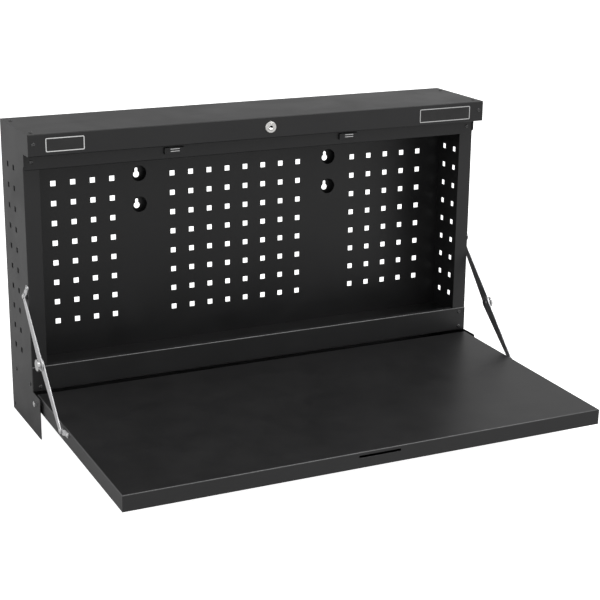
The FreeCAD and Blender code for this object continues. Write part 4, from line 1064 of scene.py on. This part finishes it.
for side in ("left", "right"):
    elbow = pivot(side + "_elbow_stud", side)
    for arm, pin in (("upper", "upper_pivot_rivets"), ("lower", side + "_lower_pivot_rivet")):
        node = f"{side}_{arm}_arm"
        low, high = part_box(node)
        ends = ((pivot(pin, side), ARM_END_RADIUS), (elbow, ARM_ELBOW_RADIUS))
        piece = make_piece(node + "_pressed", [(arm_shell(ends, low.x, high.x), False)], zinc, node)
        print(piece.name, "between pins:", round(1000 * math.dist(ends[0][0], elbow), 1), "mm")

# %% [markdown]
# ### Cam lock
#
# The lock is a satin nickel rosette with a rounded rim, a shallow turned face and a small mark at
# the top, and a plug that turns inside it. Rosette and barrel form one ring, so the profile's rows
# wrap. The keyhole is an arch over a level sill, and below the sill a small ramp guides the key in.
# Both are pressed into the plug's face by lowering its points. The ramp is tilted halfway between
# the viewer and the light overhead, so it shines just under the dark of the hole.

# %% Make the lock
ROSETTE_RADIUS = 0.011
ROSETTE_HEIGHT = 0.0022
ROSETTE_ROUND = 0.0018                 # radius of its rim
FACE_RADIUS = 0.0086                   # where the turned face ends
MARK_HEIGHT = 0.0076                   # from the lock's axis up to the mark
MARK_RADIUS = 0.0008
BARREL_RADIUS = 0.0094
BORE_RADIUS = 0.00605
PLUG_RADIUS = 0.006
PLUG_CHAMFER = 0.0003
PLUG_RINGS = 34                        # rings of points on the plug's flat face
CAM_SQUARE = 0.0035                    # half the side of the square that carries the cam
KEYHOLE = (0.0036, 0.0040)             # half width and height of the arch over the sill
KEYHOLE_SILL = -0.0010                 # height of the sill over the plug's axis
KEYHOLE_DEPTH = 0.005
RAMP_HEIGHT = 0.0024
RAMP_SLOPE = 0.6


def rosette_shell(length):
    """Inner edge, turned face, groove, rounded rim, then back along the barrel to the bore."""
    face = np.linspace(BORE_RADIUS + 0.0003, FACE_RADIUS, 8)
    sink = -0.00025 * np.sin(np.pi * (face - face[0]) / (face[-1] - face[0]))
    quarter = np.linspace(0, np.pi / 2, 9)
    rim = np.stack([ROSETTE_RADIUS - ROSETTE_ROUND * (1 - np.sin(quarter)),
                    ROSETTE_ROUND * (np.cos(quarter) - 1)], -1)
    groove = (FACE_RADIUS + 0.0002, -0.0002)
    profile = np.concatenate([
        [(BORE_RADIUS, -0.0003)], np.stack([face, sink], -1), [groove], rim,
        [(ROSETTE_RADIUS, -ROSETTE_HEIGHT), (BARREL_RADIUS, -ROSETTE_HEIGHT),
         (BARREL_RADIUS, -length), (BORE_RADIUS, -length)],
    ])
    grid = turned(profile, 128)
    mark = np.hypot(grid[..., 0], grid[..., 1] - MARK_HEIGHT)
    grid[:9, :, 2] -= 0.0005 * soft_step(MARK_RADIUS - mark[:9], 0.0003)
    return grid


def plug_shell(length):
    """The plug: a chamfered face with keyhole and ramp, a plain side and a flat end.

    Above the sill, points within the half ellipse (x / a) ** 2 + (y / b) ** 2 < 1 sink to the
    keyhole's depth. Below it, within the ramp's half ellipse, they sink by slope * height over
    the ramp's lower end.
    """
    flat = np.linspace(0, PLUG_RADIUS - PLUG_CHAMFER, PLUG_RINGS)
    radii = np.append(flat, PLUG_RADIUS)
    heights = np.append(0 * flat, -PLUG_CHAMFER)
    below = np.array([(PLUG_RADIUS, -length), (0, -length)])
    grid = turned(np.concatenate([np.stack([radii, heights], -1), below]), 144)
    face = grid[:PLUG_RINGS]
    x, y = face[..., 0], face[..., 1] - KEYHOLE_SILL
    above = soft_step(y, 0.0001)
    hole = soft_step(1 - (x / KEYHOLE[0]) ** 2 - (y / KEYHOLE[1]) ** 2, 0.1) * above
    ramp = soft_step(1 - (x / KEYHOLE[0]) ** 2 - (y / RAMP_HEIGHT) ** 2, 0.2) * (1 - above)
    face[..., 2] -= KEYHOLE_DEPTH * hole + RAMP_SLOPE * (y + RAMP_HEIGHT) * ramp
    return grid


(crown, outward, length), = fasteners("lock_housing", 1)
rosette = make_piece("lock_housing_turned", [(stand(rosette_shell(length), crown, outward), True)],
                     satin_nickel, "lock_housing")
low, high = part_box("lock_plug")
tail = high.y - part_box("lock_cam")[0].y
crown = np.array((lock_middle[0], low.y, lock_middle[2]))
outward = np.array((0.0, -1.0, 0.0))
corner = CAM_SQUARE * math.sqrt(2)
tail_profile = np.array([(0, 0), (corner, 0), (corner, -tail), (0, -tail)])
square = turned(tail_profile, 4)
turn = math.radians(45)
square = square @ np.array([(math.cos(turn), math.sin(turn), 0),
                            (-math.sin(turn), math.cos(turn), 0), (0, 0, 1)])
plug_length = high.y - low.y - tail
plug = make_piece(
    "lock_plug_turned",
    [(stand(plug_shell(plug_length), crown, outward), False),
     (stand(square, crown - plug_length * outward, outward), False)],
    plug_nickel_painted_shade, "lock_plug")
print("lock:", len(rosette.data.polygons) + len(plug.data.polygons), "faces")
